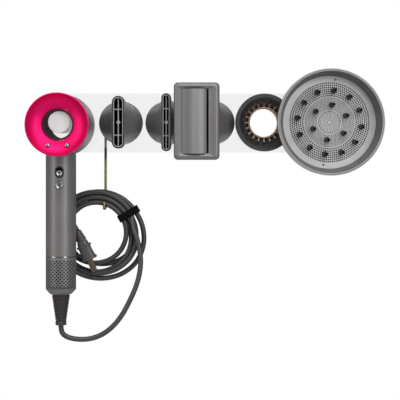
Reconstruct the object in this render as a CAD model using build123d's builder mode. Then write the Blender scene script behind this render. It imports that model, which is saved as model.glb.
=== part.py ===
from build123d import *
import os
from math import cos, hypot, pi, radians, sin, tan

# Wall-mounted holder for a hair dryer and its attachments, loaded.
# Frame: X along the wall plate, Z up, the wall is the plane Y = 0 and everything stands out to -Y.
# A depth is a distance from the wall, so a depth d lies at Y = -d. Millimetres throughout.

os.makedirs("parts", exist_ok=True)

# ---- driving dimensions ----
GAP = 0.3                     # between pieces that move against each other
FIT = 0.1                     # between pieces of one body that sit in each other
SHAFT_FIT = 0.05              # radial, shaft in its bearing

PLATE_LENGTH = 412.0
PLATE_HEIGHT = 76.5
PLATE_THICKNESS = 5.0
SCREW_SPACING = 386.0
SCREW_HOLE_R = 2.25

SMOOTHING_X = -95.0           # dock centres along the plate
STYLING_X = -35.5
FLYAWAY_X = 22.8
AIR_RING_X = 87.6
DIFFUSER_X = 168.0

DOCK_INNER_R = 15.0
AIR_RING_DOCK_R = 18.5        # wider, because the air ring is open through its middle
DOCK_WIDTH = 7.0              # inner to outer radius
DOCK_THICKNESS = 4.0
DOCK_LIP = 4.0                # how far the pilot lip stands out of the dock's face
LIP_WALL = 1.6
LIP_CLEARANCE = 0.4
MAGNET_WIDTH = 3.8
MAGNET_THICKNESS = 2.9
MAGNET_INSET = 0.6            # from the lip to the magnet

HOOK_X = -115.4
HOOK_TOP_Z = -14.5
HOOK_WIRE_R = 1.7
HOOK_DEPTH = 6.95             # wire centre behind the coil
HOOK_REACH = 33.0             # wire centre in front of the coil
HOOK_TIP_RISE = 9.0
HOOK_BEND_R = 4.0
HOOK_COIL_GAP = 1.0
POST_R = 2.3

DRYER_X = -168.0
HEAD_R = 39.0
HEAD_WALL = 2.0
HEAD_BACK = 12.0              # depth of the head's rear end
HEAD_FRONT = 105.0
FUNNEL_LIP = 2.0              # the part of the head's side that belongs to the intake
FUNNEL_RIM = 1.4              # its flat rim
FUNNEL_WALL = 1.6
FUNNEL_SKIRT = 4.0            # how far it reaches into the head
THROAT_DROP = 12.0            # from the head's front to the funnel's throat
THROAT_FLARE = 3.3            # throat radius over bore radius
BORE_R = 17.0
LINER_WALL = 1.4
LINER_FLARE = 9.0             # length of the liner's mouth
OUTLET_SLIT = 6.0             # open ring round the bore at the back of the head
OUTLET_THICKNESS = 3.8
HEATER_START = 7.0            # from the head's rear end
HEATER_LENGTH = 15.0
BOARD_START = 64.0
BOARD_THICKNESS = 3.0
INNER_CLEARANCE = 2.6         # round the heater and the board
PEG_R = 13.5
PEG_END = 78.0
PEG_EDGE = 1.0

HANDLE_DEPTH = 54.0
HANDLE_R = 19.0
HANDLE_WALL = 2.0
HANDLE_END_Z = -167.0
TRIM_HEIGHT = 1.3
CAGE_LENGTH = 46.3
CAGE_WALL = 2.1
CAGE_CHAMFER = 6.0
CAGE_FLOOR = 2.2
CORE_GAP = 1.2                # filter core to cage
CORE_WALL = 1.2
STEM_R = 8.0                  # the relief's stem inside the filter
RELIEF_TOP_R = 11.7
RELIEF_END_R = 6.3
RELIEF_LENGTH = 39.0
FLANGE_R = 7.1
FLANGE_HEIGHT = 1.2
FLANGE_STEP = 0.4             # height of a flange's slanted side

BUTTON_R = 2.8                # the two chrome buttons on the intake
BUTTON_RADIUS = 28.3          # their distance from the head's axis
BUTTON_ANGLE = 24.4           # each side of straight down
BUTTON_LENGTH = 8.2
CAP_ROUND = 0.7
SLIDER_R = 3.9
SLIDER_TRAVEL = 2.6
SLIDER_SLOT_Z = -62.0
SLIDER_LENGTH = 6.2
SLIDER_PROUD = 1.2
BEZEL_WIDTH = 11.0
BEZEL_HEIGHT = 15.0
BEZEL_PROUD = 0.3
COOL_BUTTON_R = 4.9
COOL_BUTTON_Z = -78.4
COOL_BUTTON_LENGTH = 7.0
COOL_BUTTON_PROUD = 1.0
MOTOR_CLEARANCE = 1.2         # from the motor housing to the handle tube
MOTOR_TOP_Z = -122.0
MOTOR_LENGTH = 40.0
MOTOR_WALL = 1.8
MOTOR_LID = 2.5
MOTOR_SHAFT_R = 1.5
ROTOR_R = 9.0
ROTOR_LENGTH = 20.0
SHAFT_START = 4.0             # below the housing's top
IMPELLER_HUB_R = 5.5
IMPELLER_HEIGHT = 9.0
IMPELLER_BLADE = 1.0
BLADE_COUNT = 9

CORD_R = 3.25
LEAD_FITTED_R = 3.25          # cord radius for which the lead's last points are placed
COIL_X = -125.5
COIL_Z = -139.8
COIL_INNER_R = 34.5
COIL_OUTER_R = 60.0
COIL_SAG_X = 1.5              # the outer outline's centre against the inner one
COIL_SAG_Z = -3.7
COIL_BACK = 10.0
COIL_THICKNESS = 20.0
COIL_ROUND = 7.0
STRAP_ANGLE = 30.0            # from +X, seen from the front
STRAP_WIDTH = 9.5
STRAP_WALL = 1.3

PLUG_X = -149.0
PLUG_Z = -137.0
PLUG_DEPTH = 38.6
PLUG_TILT = 66.6              # below horizontal, towards +X
PLUG_RELIEF_LENGTH = 14.0
PLUG_RELIEF_R = (4.6, 5.4)    # at the cord and at the body
PLUG_LENGTH = 26.0
PLUG_WIDTH = 17.0
PLUG_THICKNESS = 15.6
PLUG_ROUND = 6.0
PLUG_EDGE = 1.5
BLADE_LENGTH = 16.0
BLADE_WIDTH = 6.35
BLADE_THICKNESS = 1.5
BLADE_SPACING = 12.7

BASE_R = 27.9                 # every attachment's round base
BASE_TOP = 20.0               # depth where a nozzle starts to taper
FLOOR = 2.7
STEEL_THICKNESS = 1.2
STEEL_WIDTH = 3.4
STEEL_INSET = 1.1             # from the throat to the steel ring
SHELL_WALL = 1.6
TAPER_END = 50.0
NOZZLE_END = 75.0
SMOOTHING_SLOT = (65.4, 15.5)  # height, width
STYLING_SLOT = (72.0, 12.0)
SMOOTHING_RIB_Z = 16.0
STYLING_RIB_Z = 16.8
RIB = 1.2
STEM_BOSS_R = 2.2             # the vane's stem
VANE_SET_BACK = 4.0           # from the slot's end
CORE_PLATE_R = 17.6           # closes the middle of a base, so that air leaves round it
CORE_PLATE_THICKNESS = 1.6
CORE_PLATE_LIFT = 2.2         # above the base's floor
SPOKE_WIDTH = 4.0

FLYAWAY_BOX_X = 2.4
FLYAWAY_BOX_Z = 1.0
FLYAWAY_BOX = (56.2, 95.1)    # width, height
FLYAWAY_CORNER = 5.0
FLYAWAY_NECK_START = 30.0     # where the round base starts to turn into the neck
FLYAWAY_NECK = (34.6, 52.0)   # width and height where it meets the box
FLYAWAY_NECK_X = 12.2
FLYAWAY_NECK_CORNER = 8.0
FLYAWAY_BOX_START = 62.0
FLYAWAY_END = 95.0
FLYAWAY_FACE = 2.0            # thickness of the box's front and back
WINDOW_X = 0.5
WINDOW = (33.0, 79.7)         # width, height
PANEL_SLOT = 2.4              # open strip beside the curved panel
PANEL_BULGE = 4.0
PANEL_WALL = 1.6
PANEL_SET_BACK = 3.0          # of the panel's edges behind the box's front

AIR_RING_R = 36.4
AIR_RING_FLARE_END = 36.0
AIR_RING_END = 55.0
AIR_RING_RIM = 31.4           # inner radius of the front rim
AIR_RING_EDGE = 1.0
AIR_RING_WALL = 0.7           # round the wide throat
AIR_HOLE_R = 17.9
LIP_STEP = 1.3                # lip sleeve's thickness
CONE_BACK = 34.0
CONE_WALL = 2.0
FIN_COUNT = 20
FIN_LENGTH = 4.8
FIN_WIDTH = 0.9
FIN_HEIGHT = 9.0

DIFFUSER_R = 66.0
DIFFUSER_END = 90.0
DIFFUSER_EDGE = 1.0
DIFFUSER_WALL = 2.5
DIFFUSER_NECK_END = 42.0
DIFFUSER_FLARE = (43.0, 57.0)  # radius and depth where the flare meets the bowl's floor
DIFFUSER_FLOOR = (57.0, 60.0)  # radius and depth where the floor meets the side
DIFFUSER_SIDE_END = 76.0
DIFFUSER_PLATE_R = 57.9
DIFFUSER_PLATE_DEPTH = 62.3
DIFFUSER_PLATE_THICKNESS = 1.5
OUTER_PRONGS = (12, 40.0)     # count, radius
INNER_PRONGS = (6, 22.0)
PRONG_R = 3.6
PRONG_HEIGHT = 22.0
PRONG_TAPER = 3.5
DIFFUSER_SCREW_RADIUS = 53.5
DIFFUSER_SCREW_ANGLE = 82.0
PRONG_ANGLE = 22.0            # of the first prong in both circles
SCREW_HEAD_R = 1.4
SCREW_HEAD_HEIGHT = 0.6

# ---- worked-out places ----
MOTOR_R = HANDLE_R - HANDLE_WALL - MOTOR_CLEARANCE
LEAD_LIFT = 3 * (CORD_R - LEAD_FITTED_R)  # a thicker lead lies higher on the coil
DOCK_FACE = PLATE_THICKNESS + DOCK_THICKNESS
BASE_BACK = DOCK_FACE + GAP
FLOOR_TOP = BASE_BACK + FLOOR
CORE_PLATE_DEPTH = FLOOR_TOP + CORE_PLATE_LIFT
CORE_SPOKE_R = BASE_R - SHELL_WALL - FIT
HEAD_Z = PEG_R + GAP - BORE_R             # the bore hangs on top of the peg
TRIM_END_Z = HANDLE_END_Z - FIT - TRIM_HEIGHT
CAGE_TOP_Z = TRIM_END_Z - GAP
CAGE_END_Z = CAGE_TOP_Z - CAGE_LENGTH
CAGE_HOLE_R = RELIEF_TOP_R + GAP + 0.2
RELIEF_END_Z = CAGE_END_Z - RELIEF_LENGTH
HANDLE_FRONT = HANDLE_DEPTH + HANDLE_R


def depth_plane(depth):
    """A plane parallel to the wall; extruding on it goes away from the wall."""
    return Plane.XZ.offset(depth)


def save(made, label):
    made.part.label = label
    export_step(made.part, f"parts/{label}.step")


def turned(x, z, outline):
    """A solid turned about the Y axis through (x, z); the outline is (radius, depth) points."""
    with BuildPart() as made:
        with BuildSketch(Plane(origin=(x, 0, z), x_dir=(1, 0, 0), z_dir=(0, 0, -1))):
            with BuildLine():
                Polyline(*outline, close=True)
            make_face()
        revolve(axis=Axis((x, 0, z), (0, 1, 0)))
    return made


def upright(outline):
    """A solid turned about the handle's axis; the outline is (radius, height) points."""
    with BuildPart() as made:
        with BuildSketch(Plane(origin=(DRYER_X, -HANDLE_DEPTH, 0), x_dir=(1, 0, 0), z_dir=(0, -1, 0))):
            with BuildLine():
                Polyline(*outline, close=True)
            make_face()
        revolve(axis=Axis((DRYER_X, -HANDLE_DEPTH, 0), (0, 0, 1)))
    return made


def ring(x, z, inner, outer, start, end):
    return turned(x, z, [(inner, start), (inner, end), (outer, end), (outer, start)])


# ---- wall plate and peg ----
with BuildPart() as wall_plate:
    with BuildSketch(depth_plane(0)):
        SlotOverall(PLATE_LENGTH, PLATE_HEIGHT)
        with GridLocations(SCREW_SPACING, 0, 2, 1):
            Circle(SCREW_HOLE_R, mode=Mode.SUBTRACT)
        with Locations((AIR_RING_X, 0)):
            Circle(AIR_RING_DOCK_R, mode=Mode.SUBTRACT)
    extrude(amount=PLATE_THICKNESS)
save(wall_plate, "wall_plate")

with BuildPart() as dryer_peg:
    with BuildSketch(depth_plane(PLATE_THICKNESS)):
        with Locations((DRYER_X, 0)):
            Circle(PEG_R)
    extrude(amount=PEG_END - PLATE_THICKNESS)
    fillet(dryer_peg.faces().sort_by(Axis.Y)[0].edges(), PEG_EDGE)
save(dryer_peg, "dryer_peg")


# ---- docks: a clear ring with a pilot lip and a ring magnet let into its face ----
def dock(name, x, inner_r):
    lip_r = inner_r + LIP_WALL
    magnet_r = lip_r + MAGNET_INSET
    groove = MAGNET_THICKNESS + FIT
    outline = [
        (inner_r, PLATE_THICKNESS),
        (inner_r, DOCK_FACE + DOCK_LIP),
        (lip_r, DOCK_FACE + DOCK_LIP),
        (lip_r, DOCK_FACE),
        (magnet_r - FIT, DOCK_FACE),
        (magnet_r - FIT, DOCK_FACE - groove),
        (magnet_r + MAGNET_WIDTH + FIT, DOCK_FACE - groove),
        (magnet_r + MAGNET_WIDTH + FIT, DOCK_FACE),
        (inner_r + DOCK_WIDTH, DOCK_FACE),
        (inner_r + DOCK_WIDTH, PLATE_THICKNESS),
    ]
    save(turned(x, 0, outline), f"{name}_dock")
    magnet = ring(x, 0, magnet_r, magnet_r + MAGNET_WIDTH, DOCK_FACE - groove, DOCK_FACE - FIT)
    save(magnet, f"{name}_magnet")


dock("smoothing", SMOOTHING_X, DOCK_INNER_R)
dock("styling", STYLING_X, DOCK_INNER_R)
dock("flyaway", FLYAWAY_X, DOCK_INNER_R)
dock("air_ring", AIR_RING_X, AIR_RING_DOCK_R)
dock("diffuser", DIFFUSER_X, DOCK_INNER_R)

# ---- cord hook ----
with BuildPart() as hook_post:
    with BuildSketch(depth_plane(PLATE_THICKNESS)):
        with Locations((HOOK_X, HOOK_TOP_Z)):
            Circle(POST_R)
    extrude(amount=DOCK_FACE - PLATE_THICKNESS - FIT)
    with BuildSketch(Plane.XY.offset(HOOK_TOP_Z)):
        with Locations((HOOK_X, -HOOK_DEPTH)):
            Circle(HOOK_WIRE_R)
    extrude(amount=-2 * POST_R, mode=Mode.SUBTRACT)
save(hook_post, "hook_post")

HOOK_BOTTOM_Z = COIL_Z + (COIL_INNER_R**2 - (HOOK_X - COIL_X) ** 2) ** 0.5 - HOOK_COIL_GAP - HOOK_WIRE_R
with BuildPart() as cord_hook:
    with BuildLine():
        FilletPolyline(
            (HOOK_X, -HOOK_DEPTH, HOOK_TOP_Z),
            (HOOK_X, -HOOK_DEPTH, HOOK_BOTTOM_Z),
            (HOOK_X, -HOOK_REACH, HOOK_BOTTOM_Z),
            (HOOK_X, -HOOK_REACH, HOOK_BOTTOM_Z + HOOK_TIP_RISE),
            radius=HOOK_BEND_R,
        )
    with BuildSketch(Plane.XY.offset(HOOK_TOP_Z)):
        with Locations((HOOK_X, -HOOK_DEPTH)):
            Circle(HOOK_WIRE_R)
    sweep()
save(cord_hook, "cord_hook")

# ---- dryer head ----
HEAD_INNER_R = HEAD_R - HEAD_WALL
LIP_DEPTH = HEAD_FRONT - FUNNEL_LIP
with BuildPart() as head_shell:
    with BuildSketch(Plane.XZ.offset(HEAD_BACK)):
        with Locations((DRYER_X, HEAD_Z)):
            Circle(HEAD_R)
            Circle(HEAD_INNER_R, mode=Mode.SUBTRACT)
    extrude(amount=LIP_DEPTH - FIT - HEAD_BACK)
    with BuildSketch(Plane.XY.offset(HEAD_Z)):
        with Locations((DRYER_X, -HANDLE_DEPTH)):
            Circle(HANDLE_R - HANDLE_WALL - 5 * FIT)
    extrude(amount=-2 * HEAD_R, mode=Mode.SUBTRACT)
save(head_shell, "head_shell")

THROAT_R = BORE_R + THROAT_FLARE
THROAT_DEPTH = HEAD_FRONT - THROAT_DROP
FUNNEL_EDGE_R = HEAD_R - FUNNEL_RIM
SKIRT_R = HEAD_INNER_R - FIT
SKIRT_DEPTH = HEAD_FRONT - FUNNEL_SKIRT
FUNNEL_MIDDLE = (THROAT_R + FUNNEL_EDGE_R) / 2, THROAT_DEPTH + 0.27 * THROAT_DROP
BACK_MIDDLE = (THROAT_R + SKIRT_R) / 2, FUNNEL_MIDDLE[1] - 1.2 * FUNNEL_WALL
with BuildPart() as intake_funnel:
    with BuildSketch(Plane(origin=(DRYER_X, 0, HEAD_Z), x_dir=(1, 0, 0), z_dir=(0, 0, -1))):
        with BuildLine():
            ThreePointArc((THROAT_R, THROAT_DEPTH), FUNNEL_MIDDLE, (FUNNEL_EDGE_R, HEAD_FRONT))
            Polyline(
                (FUNNEL_EDGE_R, HEAD_FRONT),
                (HEAD_R - 0.5, HEAD_FRONT),
                (HEAD_R, HEAD_FRONT - 0.3),
                (HEAD_R, LIP_DEPTH),
                (SKIRT_R, LIP_DEPTH),
                (SKIRT_R, SKIRT_DEPTH),
            )
            ThreePointArc((SKIRT_R, SKIRT_DEPTH), BACK_MIDDLE, (THROAT_R, THROAT_DEPTH - FUNNEL_WALL))
            Line((THROAT_R, THROAT_DEPTH - FUNNEL_WALL), (THROAT_R, THROAT_DEPTH))
        make_face()
    revolve(axis=Axis((DRYER_X, 0, HEAD_Z), (0, 1, 0)))
    with BuildSketch(depth_plane(HEAD_FRONT)):
        with Locations((DRYER_X, HEAD_Z)):
            with PolarLocations(BUTTON_RADIUS, 2, start_angle=-90 - BUTTON_ANGLE, angular_range=4 * BUTTON_ANGLE):
                Circle(BUTTON_R + GAP)
    extrude(amount=-HEAD_R, mode=Mode.SUBTRACT)
save(intake_funnel, "intake_funnel")

BUTTON_FRONT = FUNNEL_MIDDLE[1] + 2.0


def intake_button(label, side):
    angle = radians(-90 + side * BUTTON_ANGLE)
    with BuildPart() as button:
        with BuildSketch(depth_plane(BUTTON_FRONT - BUTTON_LENGTH)):
            with Locations((DRYER_X + BUTTON_RADIUS * cos(angle), HEAD_Z + BUTTON_RADIUS * sin(angle))):
                Circle(BUTTON_R)
        extrude(amount=BUTTON_LENGTH)
        fillet(button.faces().sort_by(Axis.Y)[0].edges(), CAP_ROUND)
    save(button, label)


intake_button("airflow_button", -1)
intake_button("heat_button", 1)

LINER_R = BORE_R + LINER_WALL
LINER_FRONT = THROAT_DEPTH - 6 * FIT
bore_liner = turned(DRYER_X, HEAD_Z, [
    (BORE_R, HEAD_BACK),
    (BORE_R, THROAT_DEPTH - LINER_FLARE),
    (THROAT_R - 7 * FIT, LINER_FRONT),
    (THROAT_R - FIT, LINER_FRONT),
    (LINER_R, THROAT_DEPTH - LINER_FLARE + 1.0),
    (LINER_R, HEAD_BACK),
])
save(bore_liner, "bore_liner")


def head_ring(label, inner, outer, start, length):
    """A ring inside the head; start is measured from the head's rear end."""
    save(ring(DRYER_X, HEAD_Z, inner, outer, HEAD_BACK + start, HEAD_BACK + start + length), label)


head_ring("outlet_ring", BORE_R + OUTLET_SLIT, HEAD_INNER_R - FIT, 2 * FIT, OUTLET_THICKNESS)
head_ring("heater_ring", LINER_R + INNER_CLEARANCE, HEAD_INNER_R - 4.0, HEATER_START, HEATER_LENGTH)
head_ring("circuit_board", LINER_R + INNER_CLEARANCE, HEAD_INNER_R - INNER_CLEARANCE, BOARD_START, BOARD_THICKNESS)

# ---- dryer handle ----
with BuildPart() as handle_tube:
    with BuildSketch(Plane.XY.offset(HANDLE_END_Z)):
        with Locations((DRYER_X, -HANDLE_DEPTH)):
            Circle(HANDLE_R)
            Circle(HANDLE_R - HANDLE_WALL, mode=Mode.SUBTRACT)
    extrude(amount=HEAD_Z - HANDLE_END_Z)
    with BuildSketch(Plane.XZ.offset(HEAD_BACK)):
        with Locations((DRYER_X, HEAD_Z)):
            Circle(HEAD_R + SHAFT_FIT)
    extrude(amount=HEAD_FRONT, mode=Mode.SUBTRACT)
    with BuildSketch(depth_plane(HANDLE_DEPTH)):
        with Locations((DRYER_X, SLIDER_SLOT_Z)):
            SlotOverall(BEZEL_HEIGHT + 2 * FIT, BEZEL_WIDTH + 2 * FIT, rotation=90)
        with Locations((DRYER_X, COOL_BUTTON_Z)):
            Circle(COOL_BUTTON_R + GAP)
    extrude(amount=HANDLE_R + 1, mode=Mode.SUBTRACT)
save(handle_tube, "handle_tube")

SLIDER_SLOT_W = 2 * (SLIDER_R + GAP)
with BuildPart() as switch_bezel:
    with BuildSketch(depth_plane(HANDLE_FRONT - HANDLE_WALL)):
        with Locations((DRYER_X, SLIDER_SLOT_Z)):
            SlotOverall(BEZEL_HEIGHT, BEZEL_WIDTH, rotation=90)
            SlotOverall(SLIDER_SLOT_W + SLIDER_TRAVEL + GAP, SLIDER_SLOT_W, rotation=90, mode=Mode.SUBTRACT)
    extrude(amount=HANDLE_WALL + BEZEL_PROUD)
save(switch_bezel, "switch_bezel")

with BuildPart() as power_slider:
    with BuildSketch(depth_plane(HANDLE_FRONT + SLIDER_PROUD - SLIDER_LENGTH)):
        with Locations((DRYER_X, SLIDER_SLOT_Z - SLIDER_TRAVEL / 2)):
            Circle(SLIDER_R)
    extrude(amount=SLIDER_LENGTH)
    fillet(power_slider.faces().sort_by(Axis.Y)[0].edges(), CAP_ROUND)
save(power_slider, "power_slider")

with BuildPart() as cool_button:
    with BuildSketch(depth_plane(HANDLE_FRONT + COOL_BUTTON_PROUD - COOL_BUTTON_LENGTH)):
        with Locations((DRYER_X, COOL_BUTTON_Z)):
            Circle(COOL_BUTTON_R)
    extrude(amount=COOL_BUTTON_LENGTH)
    fillet(cool_button.faces().sort_by(Axis.Y)[0].edges(), CAP_ROUND)
save(cool_button, "cool_button")

MOTOR_END_Z = MOTOR_TOP_Z - MOTOR_LENGTH
ROTOR_END_Z = MOTOR_TOP_Z - ROTOR_LENGTH
IMPELLER_R = MOTOR_R - MOTOR_WALL - GAP
IMPELLER_TOP_Z = ROTOR_END_Z - 2.0
motor_housing = upright([
    (MOTOR_SHAFT_R + SHAFT_FIT, MOTOR_TOP_Z),
    (MOTOR_R, MOTOR_TOP_Z),
    (MOTOR_R, MOTOR_END_Z),
    (MOTOR_R - MOTOR_WALL, MOTOR_END_Z),
    (MOTOR_R - MOTOR_WALL, MOTOR_TOP_Z - MOTOR_LID),
    (ROTOR_R, MOTOR_TOP_Z - MOTOR_LID),
    (ROTOR_R, ROTOR_END_Z),
    (MOTOR_SHAFT_R + SHAFT_FIT, ROTOR_END_Z),
])
save(motor_housing, "motor_housing")

with BuildPart() as impeller:
    with BuildSketch(Plane.XY.offset(MOTOR_TOP_Z - SHAFT_START)):
        with Locations((DRYER_X, -HANDLE_DEPTH)):
            Circle(MOTOR_SHAFT_R)
    extrude(amount=IMPELLER_TOP_Z - MOTOR_TOP_Z + SHAFT_START)
    with BuildSketch(Plane.XY.offset(IMPELLER_TOP_Z)):
        with Locations((DRYER_X, -HANDLE_DEPTH)):
            Circle(IMPELLER_HUB_R)
            with PolarLocations(IMPELLER_R / 2, BLADE_COUNT):
                Rectangle(IMPELLER_R - 2 * GAP, IMPELLER_BLADE)
    extrude(amount=-IMPELLER_HEIGHT)
save(impeller, "impeller")

# ---- trim ring, filter and strain relief below the handle ----
CORE_R = HANDLE_R - CAGE_WALL - CORE_GAP
CORE_END_Z = CAGE_END_Z + CAGE_CHAMFER + 2.0
trim_ring = upright([
    (CORE_R, HANDLE_END_Z - FIT),
    (HANDLE_R, HANDLE_END_Z - FIT),
    (HANDLE_R, TRIM_END_Z),
    (CORE_R, TRIM_END_Z),
])
save(trim_ring, "trim_ring")
filter_core = upright([
    (CORE_R - CORE_WALL, TRIM_END_Z),
    (CORE_R - FIT, TRIM_END_Z),
    (CORE_R - FIT, CORE_END_Z),
    (STEM_R + FIT, CORE_END_Z),
    (STEM_R + FIT, CORE_END_Z + CORE_WALL),
    (CORE_R - CORE_WALL, CORE_END_Z + CORE_WALL),
])
save(filter_core, "filter_core")
filter_cage = upright([
    (HANDLE_R - CAGE_WALL, CAGE_TOP_Z),
    (HANDLE_R, CAGE_TOP_Z),
    (HANDLE_R, CAGE_END_Z + CAGE_CHAMFER),
    (CAGE_HOLE_R + 1.3, CAGE_END_Z),
    (CAGE_HOLE_R, CAGE_END_Z),
    (CAGE_HOLE_R, CAGE_END_Z + CAGE_FLOOR),
    (HANDLE_R - CAGE_WALL, CAGE_END_Z + CAGE_CHAMFER + 0.8),
])
save(filter_cage, "filter_cage")
LOWER_FLANGE = RELIEF_END_Z + FLANGE_HEIGHT
UPPER_FLANGE = LOWER_FLANGE + 2 * FLANGE_STEP + 0.6
RELIEF_CONE_END = UPPER_FLANGE + FLANGE_HEIGHT + FLANGE_STEP
strain_relief = upright([
    (0, TRIM_END_Z + 4.0),
    (STEM_R, TRIM_END_Z + 4.0),
    (STEM_R, CORE_END_Z - 1.0),
    (RELIEF_TOP_R, CORE_END_Z - 2.0),
    (RELIEF_TOP_R, CAGE_END_Z),
    (RELIEF_END_R, RELIEF_CONE_END),
    (FLANGE_R, RELIEF_CONE_END - FLANGE_STEP),
    (FLANGE_R, UPPER_FLANGE),
    (RELIEF_END_R, UPPER_FLANGE - FLANGE_STEP),
    (RELIEF_END_R, LOWER_FLANGE + FLANGE_STEP),
    (FLANGE_R, LOWER_FLANGE),
    (FLANGE_R, RELIEF_END_Z),
    (0, RELIEF_END_Z),
])
save(strain_relief, "strain_relief")

# ---- cord: the lead, the coil, its strap and the free end with the plug ----
LEAD_ROUTE = [
    (-168.0, -54.0, RELIEF_END_Z - GAP),
    (-168.0, -54.0, -261.6),
    (-162.4, -53.7, -268.9),
    (-151.8, -52.5, -273.0),
    (-138.0, -50.6, -272.4),
    (-122.5, -48.4, -267.3),
    (-108.0, -46.2, -257.6),
    (-96.0, -44.2, -243.6),
    (-86.0, -42.2, -228.0),
    (-77.5, -40.2, -211.0),
    (-71.5, -38.4, -193.5),
    (-69.0, -36.8, -177.0),
    (-70.0, -35.6 - LEAD_LIFT, -162.0),
    (-73.6, -34.2 - LEAD_LIFT, -146.5),
    (-79.0, -31.8 - LEAD_LIFT, -132.2),
]
FREE_END_ROUTE = [
    (PLUG_X, -PLUG_DEPTH, PLUG_Z),
    (-154.2, -35.6, -128.6),
    (-160.4, -31.2, -121.2),
]


def cord_radii(route):
    """One radius for each corner: 0.45 of its shorter run over the tangent of half its turn."""
    points = [Vector(*p) for p in route]
    radii = []
    for before, here, after in zip(points, points[1:], points[2:]):
        turn = radians((here - before).get_angle(after - here))
        shorter = min((here - before).length, (after - here).length)
        radii.append(0.45 * shorter / tan(turn / 2))
    return radii


def cord(label, route):
    radii = cord_radii(route)
    start = Vector(*route[0])
    with BuildPart() as tube:
        with BuildLine() as path:
            FilletPolyline(*route, radius=radii)
        with BuildSketch(Plane(origin=start, z_dir=Vector(*route[1]) - start)):
            Circle(CORD_R)
        sweep()
    length = path.wires()[0].length
    volume = tube.part.volume / (pi * CORD_R**2 * length)
    print(label, "length", round(length, 1), "volume ratio", round(volume, 4))
    print("  radii", [round(r, 1) for r in radii])
    save(tube, label)


cord("cord_lead", LEAD_ROUTE)
cord("plug_cord", FREE_END_ROUTE)

with BuildPart() as cord_coil:
    with BuildSketch(depth_plane(COIL_BACK)):
        with Locations((COIL_X + COIL_SAG_X, COIL_Z + COIL_SAG_Z)):
            Circle(COIL_OUTER_R)
        with Locations((COIL_X, COIL_Z)):
            Circle(COIL_INNER_R, mode=Mode.SUBTRACT)
    extrude(amount=COIL_THICKNESS)
    fillet(cord_coil.edges().filter_by(GeomType.CIRCLE), COIL_ROUND)
save(cord_coil, "cord_coil")

# Where the strap's line from the coil's centre leaves the outer outline.
STRAP_U = (cos(radians(STRAP_ANGLE)), sin(radians(STRAP_ANGLE)))
ALONG = STRAP_U[0] * COIL_SAG_X + STRAP_U[1] * COIL_SAG_Z
COIL_EDGE = ALONG + (COIL_OUTER_R**2 + ALONG**2 - hypot(COIL_SAG_X, COIL_SAG_Z) ** 2) ** 0.5
STRAP_RADIUS = (COIL_INNER_R + COIL_EDGE) / 2
STRAP_INNER = (COIL_EDGE - COIL_INNER_R + 2 * GAP + 0.8, COIL_THICKNESS + 2 * GAP)
with BuildPart() as cord_strap:
    strap_place = Plane(
        origin=(
            COIL_X + STRAP_RADIUS * STRAP_U[0],
            -COIL_BACK - COIL_THICKNESS / 2,
            COIL_Z + STRAP_RADIUS * STRAP_U[1],
        ),
        x_dir=(STRAP_U[0], 0, STRAP_U[1]),
        z_dir=(-STRAP_U[1], 0, STRAP_U[0]),
    )
    with BuildSketch(strap_place):
        RectangleRounded(STRAP_INNER[0] + 2 * STRAP_WALL, STRAP_INNER[1] + 2 * STRAP_WALL, COIL_ROUND)
        RectangleRounded(*STRAP_INNER, COIL_ROUND - STRAP_WALL, mode=Mode.SUBTRACT)
    extrude(amount=STRAP_WIDTH / 2, both=True)
save(cord_strap, "cord_strap")

PLUG_U = (cos(radians(PLUG_TILT)), -sin(radians(PLUG_TILT)))


def plug_plane(along):
    """A plane across the plug's axis, that far from its cord end."""
    return Plane(
        origin=(PLUG_X + along * PLUG_U[0], -PLUG_DEPTH, PLUG_Z + along * PLUG_U[1]),
        x_dir=(-PLUG_U[1], 0, PLUG_U[0]),
        z_dir=(PLUG_U[0], 0, PLUG_U[1]),
    )


with BuildPart() as plug_relief:
    with BuildSketch(plug_plane(0)):
        Circle(PLUG_RELIEF_R[0])
    with BuildSketch(plug_plane(PLUG_RELIEF_LENGTH)):
        Circle(PLUG_RELIEF_R[1])
    loft()
save(plug_relief, "plug_relief")

with BuildPart() as plug_body:
    with BuildSketch(plug_plane(PLUG_RELIEF_LENGTH)):
        RectangleRounded(PLUG_WIDTH, PLUG_THICKNESS, PLUG_ROUND)
    extrude(amount=PLUG_LENGTH)
    fillet(plug_body.faces().sort_by(Axis.Z)[-1].edges(), PLUG_EDGE)
save(plug_body, "plug_body")

with BuildPart() as plug_blades:
    with BuildSketch(plug_plane(PLUG_RELIEF_LENGTH + PLUG_LENGTH)):
        with GridLocations(0, BLADE_SPACING, 1, 2):
            Rectangle(BLADE_WIDTH, BLADE_THICKNESS)
    extrude(amount=BLADE_LENGTH)
save(plug_blades, "plug_blades")


# ---- attachments ----
def throat_r(inner_r):
    """The opening in an attachment's floor, over the lip of a dock with that inner radius."""
    return inner_r + LIP_WALL + LIP_CLEARANCE


def core_plate():
    """A disc on three spokes, above a base's floor; it is sketched inside a part, where its place is."""
    Circle(CORE_PLATE_R)
    with PolarLocations(0, 3, start_angle=90):
        Rectangle(CORE_SPOKE_R, SPOKE_WIDTH, align=(Align.MIN, Align.CENTER))


def steel_ring(label, x, inner_r):
    steel_r = throat_r(inner_r) + STEEL_INSET
    save(ring(x, 0, steel_r, steel_r + STEEL_WIDTH, BASE_BACK, BASE_BACK + STEEL_THICKNESS), label)


def floor_cutter(x, inner_r):
    """What an attachment's floor leaves out: the throat and the steel ring's groove."""
    steel_r = throat_r(inner_r) + STEEL_INSET
    with BuildPart() as cutter:
        with BuildSketch(depth_plane(BASE_BACK)):
            with Locations((x, 0)):
                Circle(throat_r(inner_r))
        extrude(amount=FLOOR + 1)
        with BuildSketch(depth_plane(BASE_BACK)):
            with Locations((x, 0)):
                Circle(steel_r + STEEL_WIDTH + FIT)
                Circle(steel_r - FIT, mode=Mode.SUBTRACT)
        extrude(amount=STEEL_THICKNESS + FIT)
    return cutter.part


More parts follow.
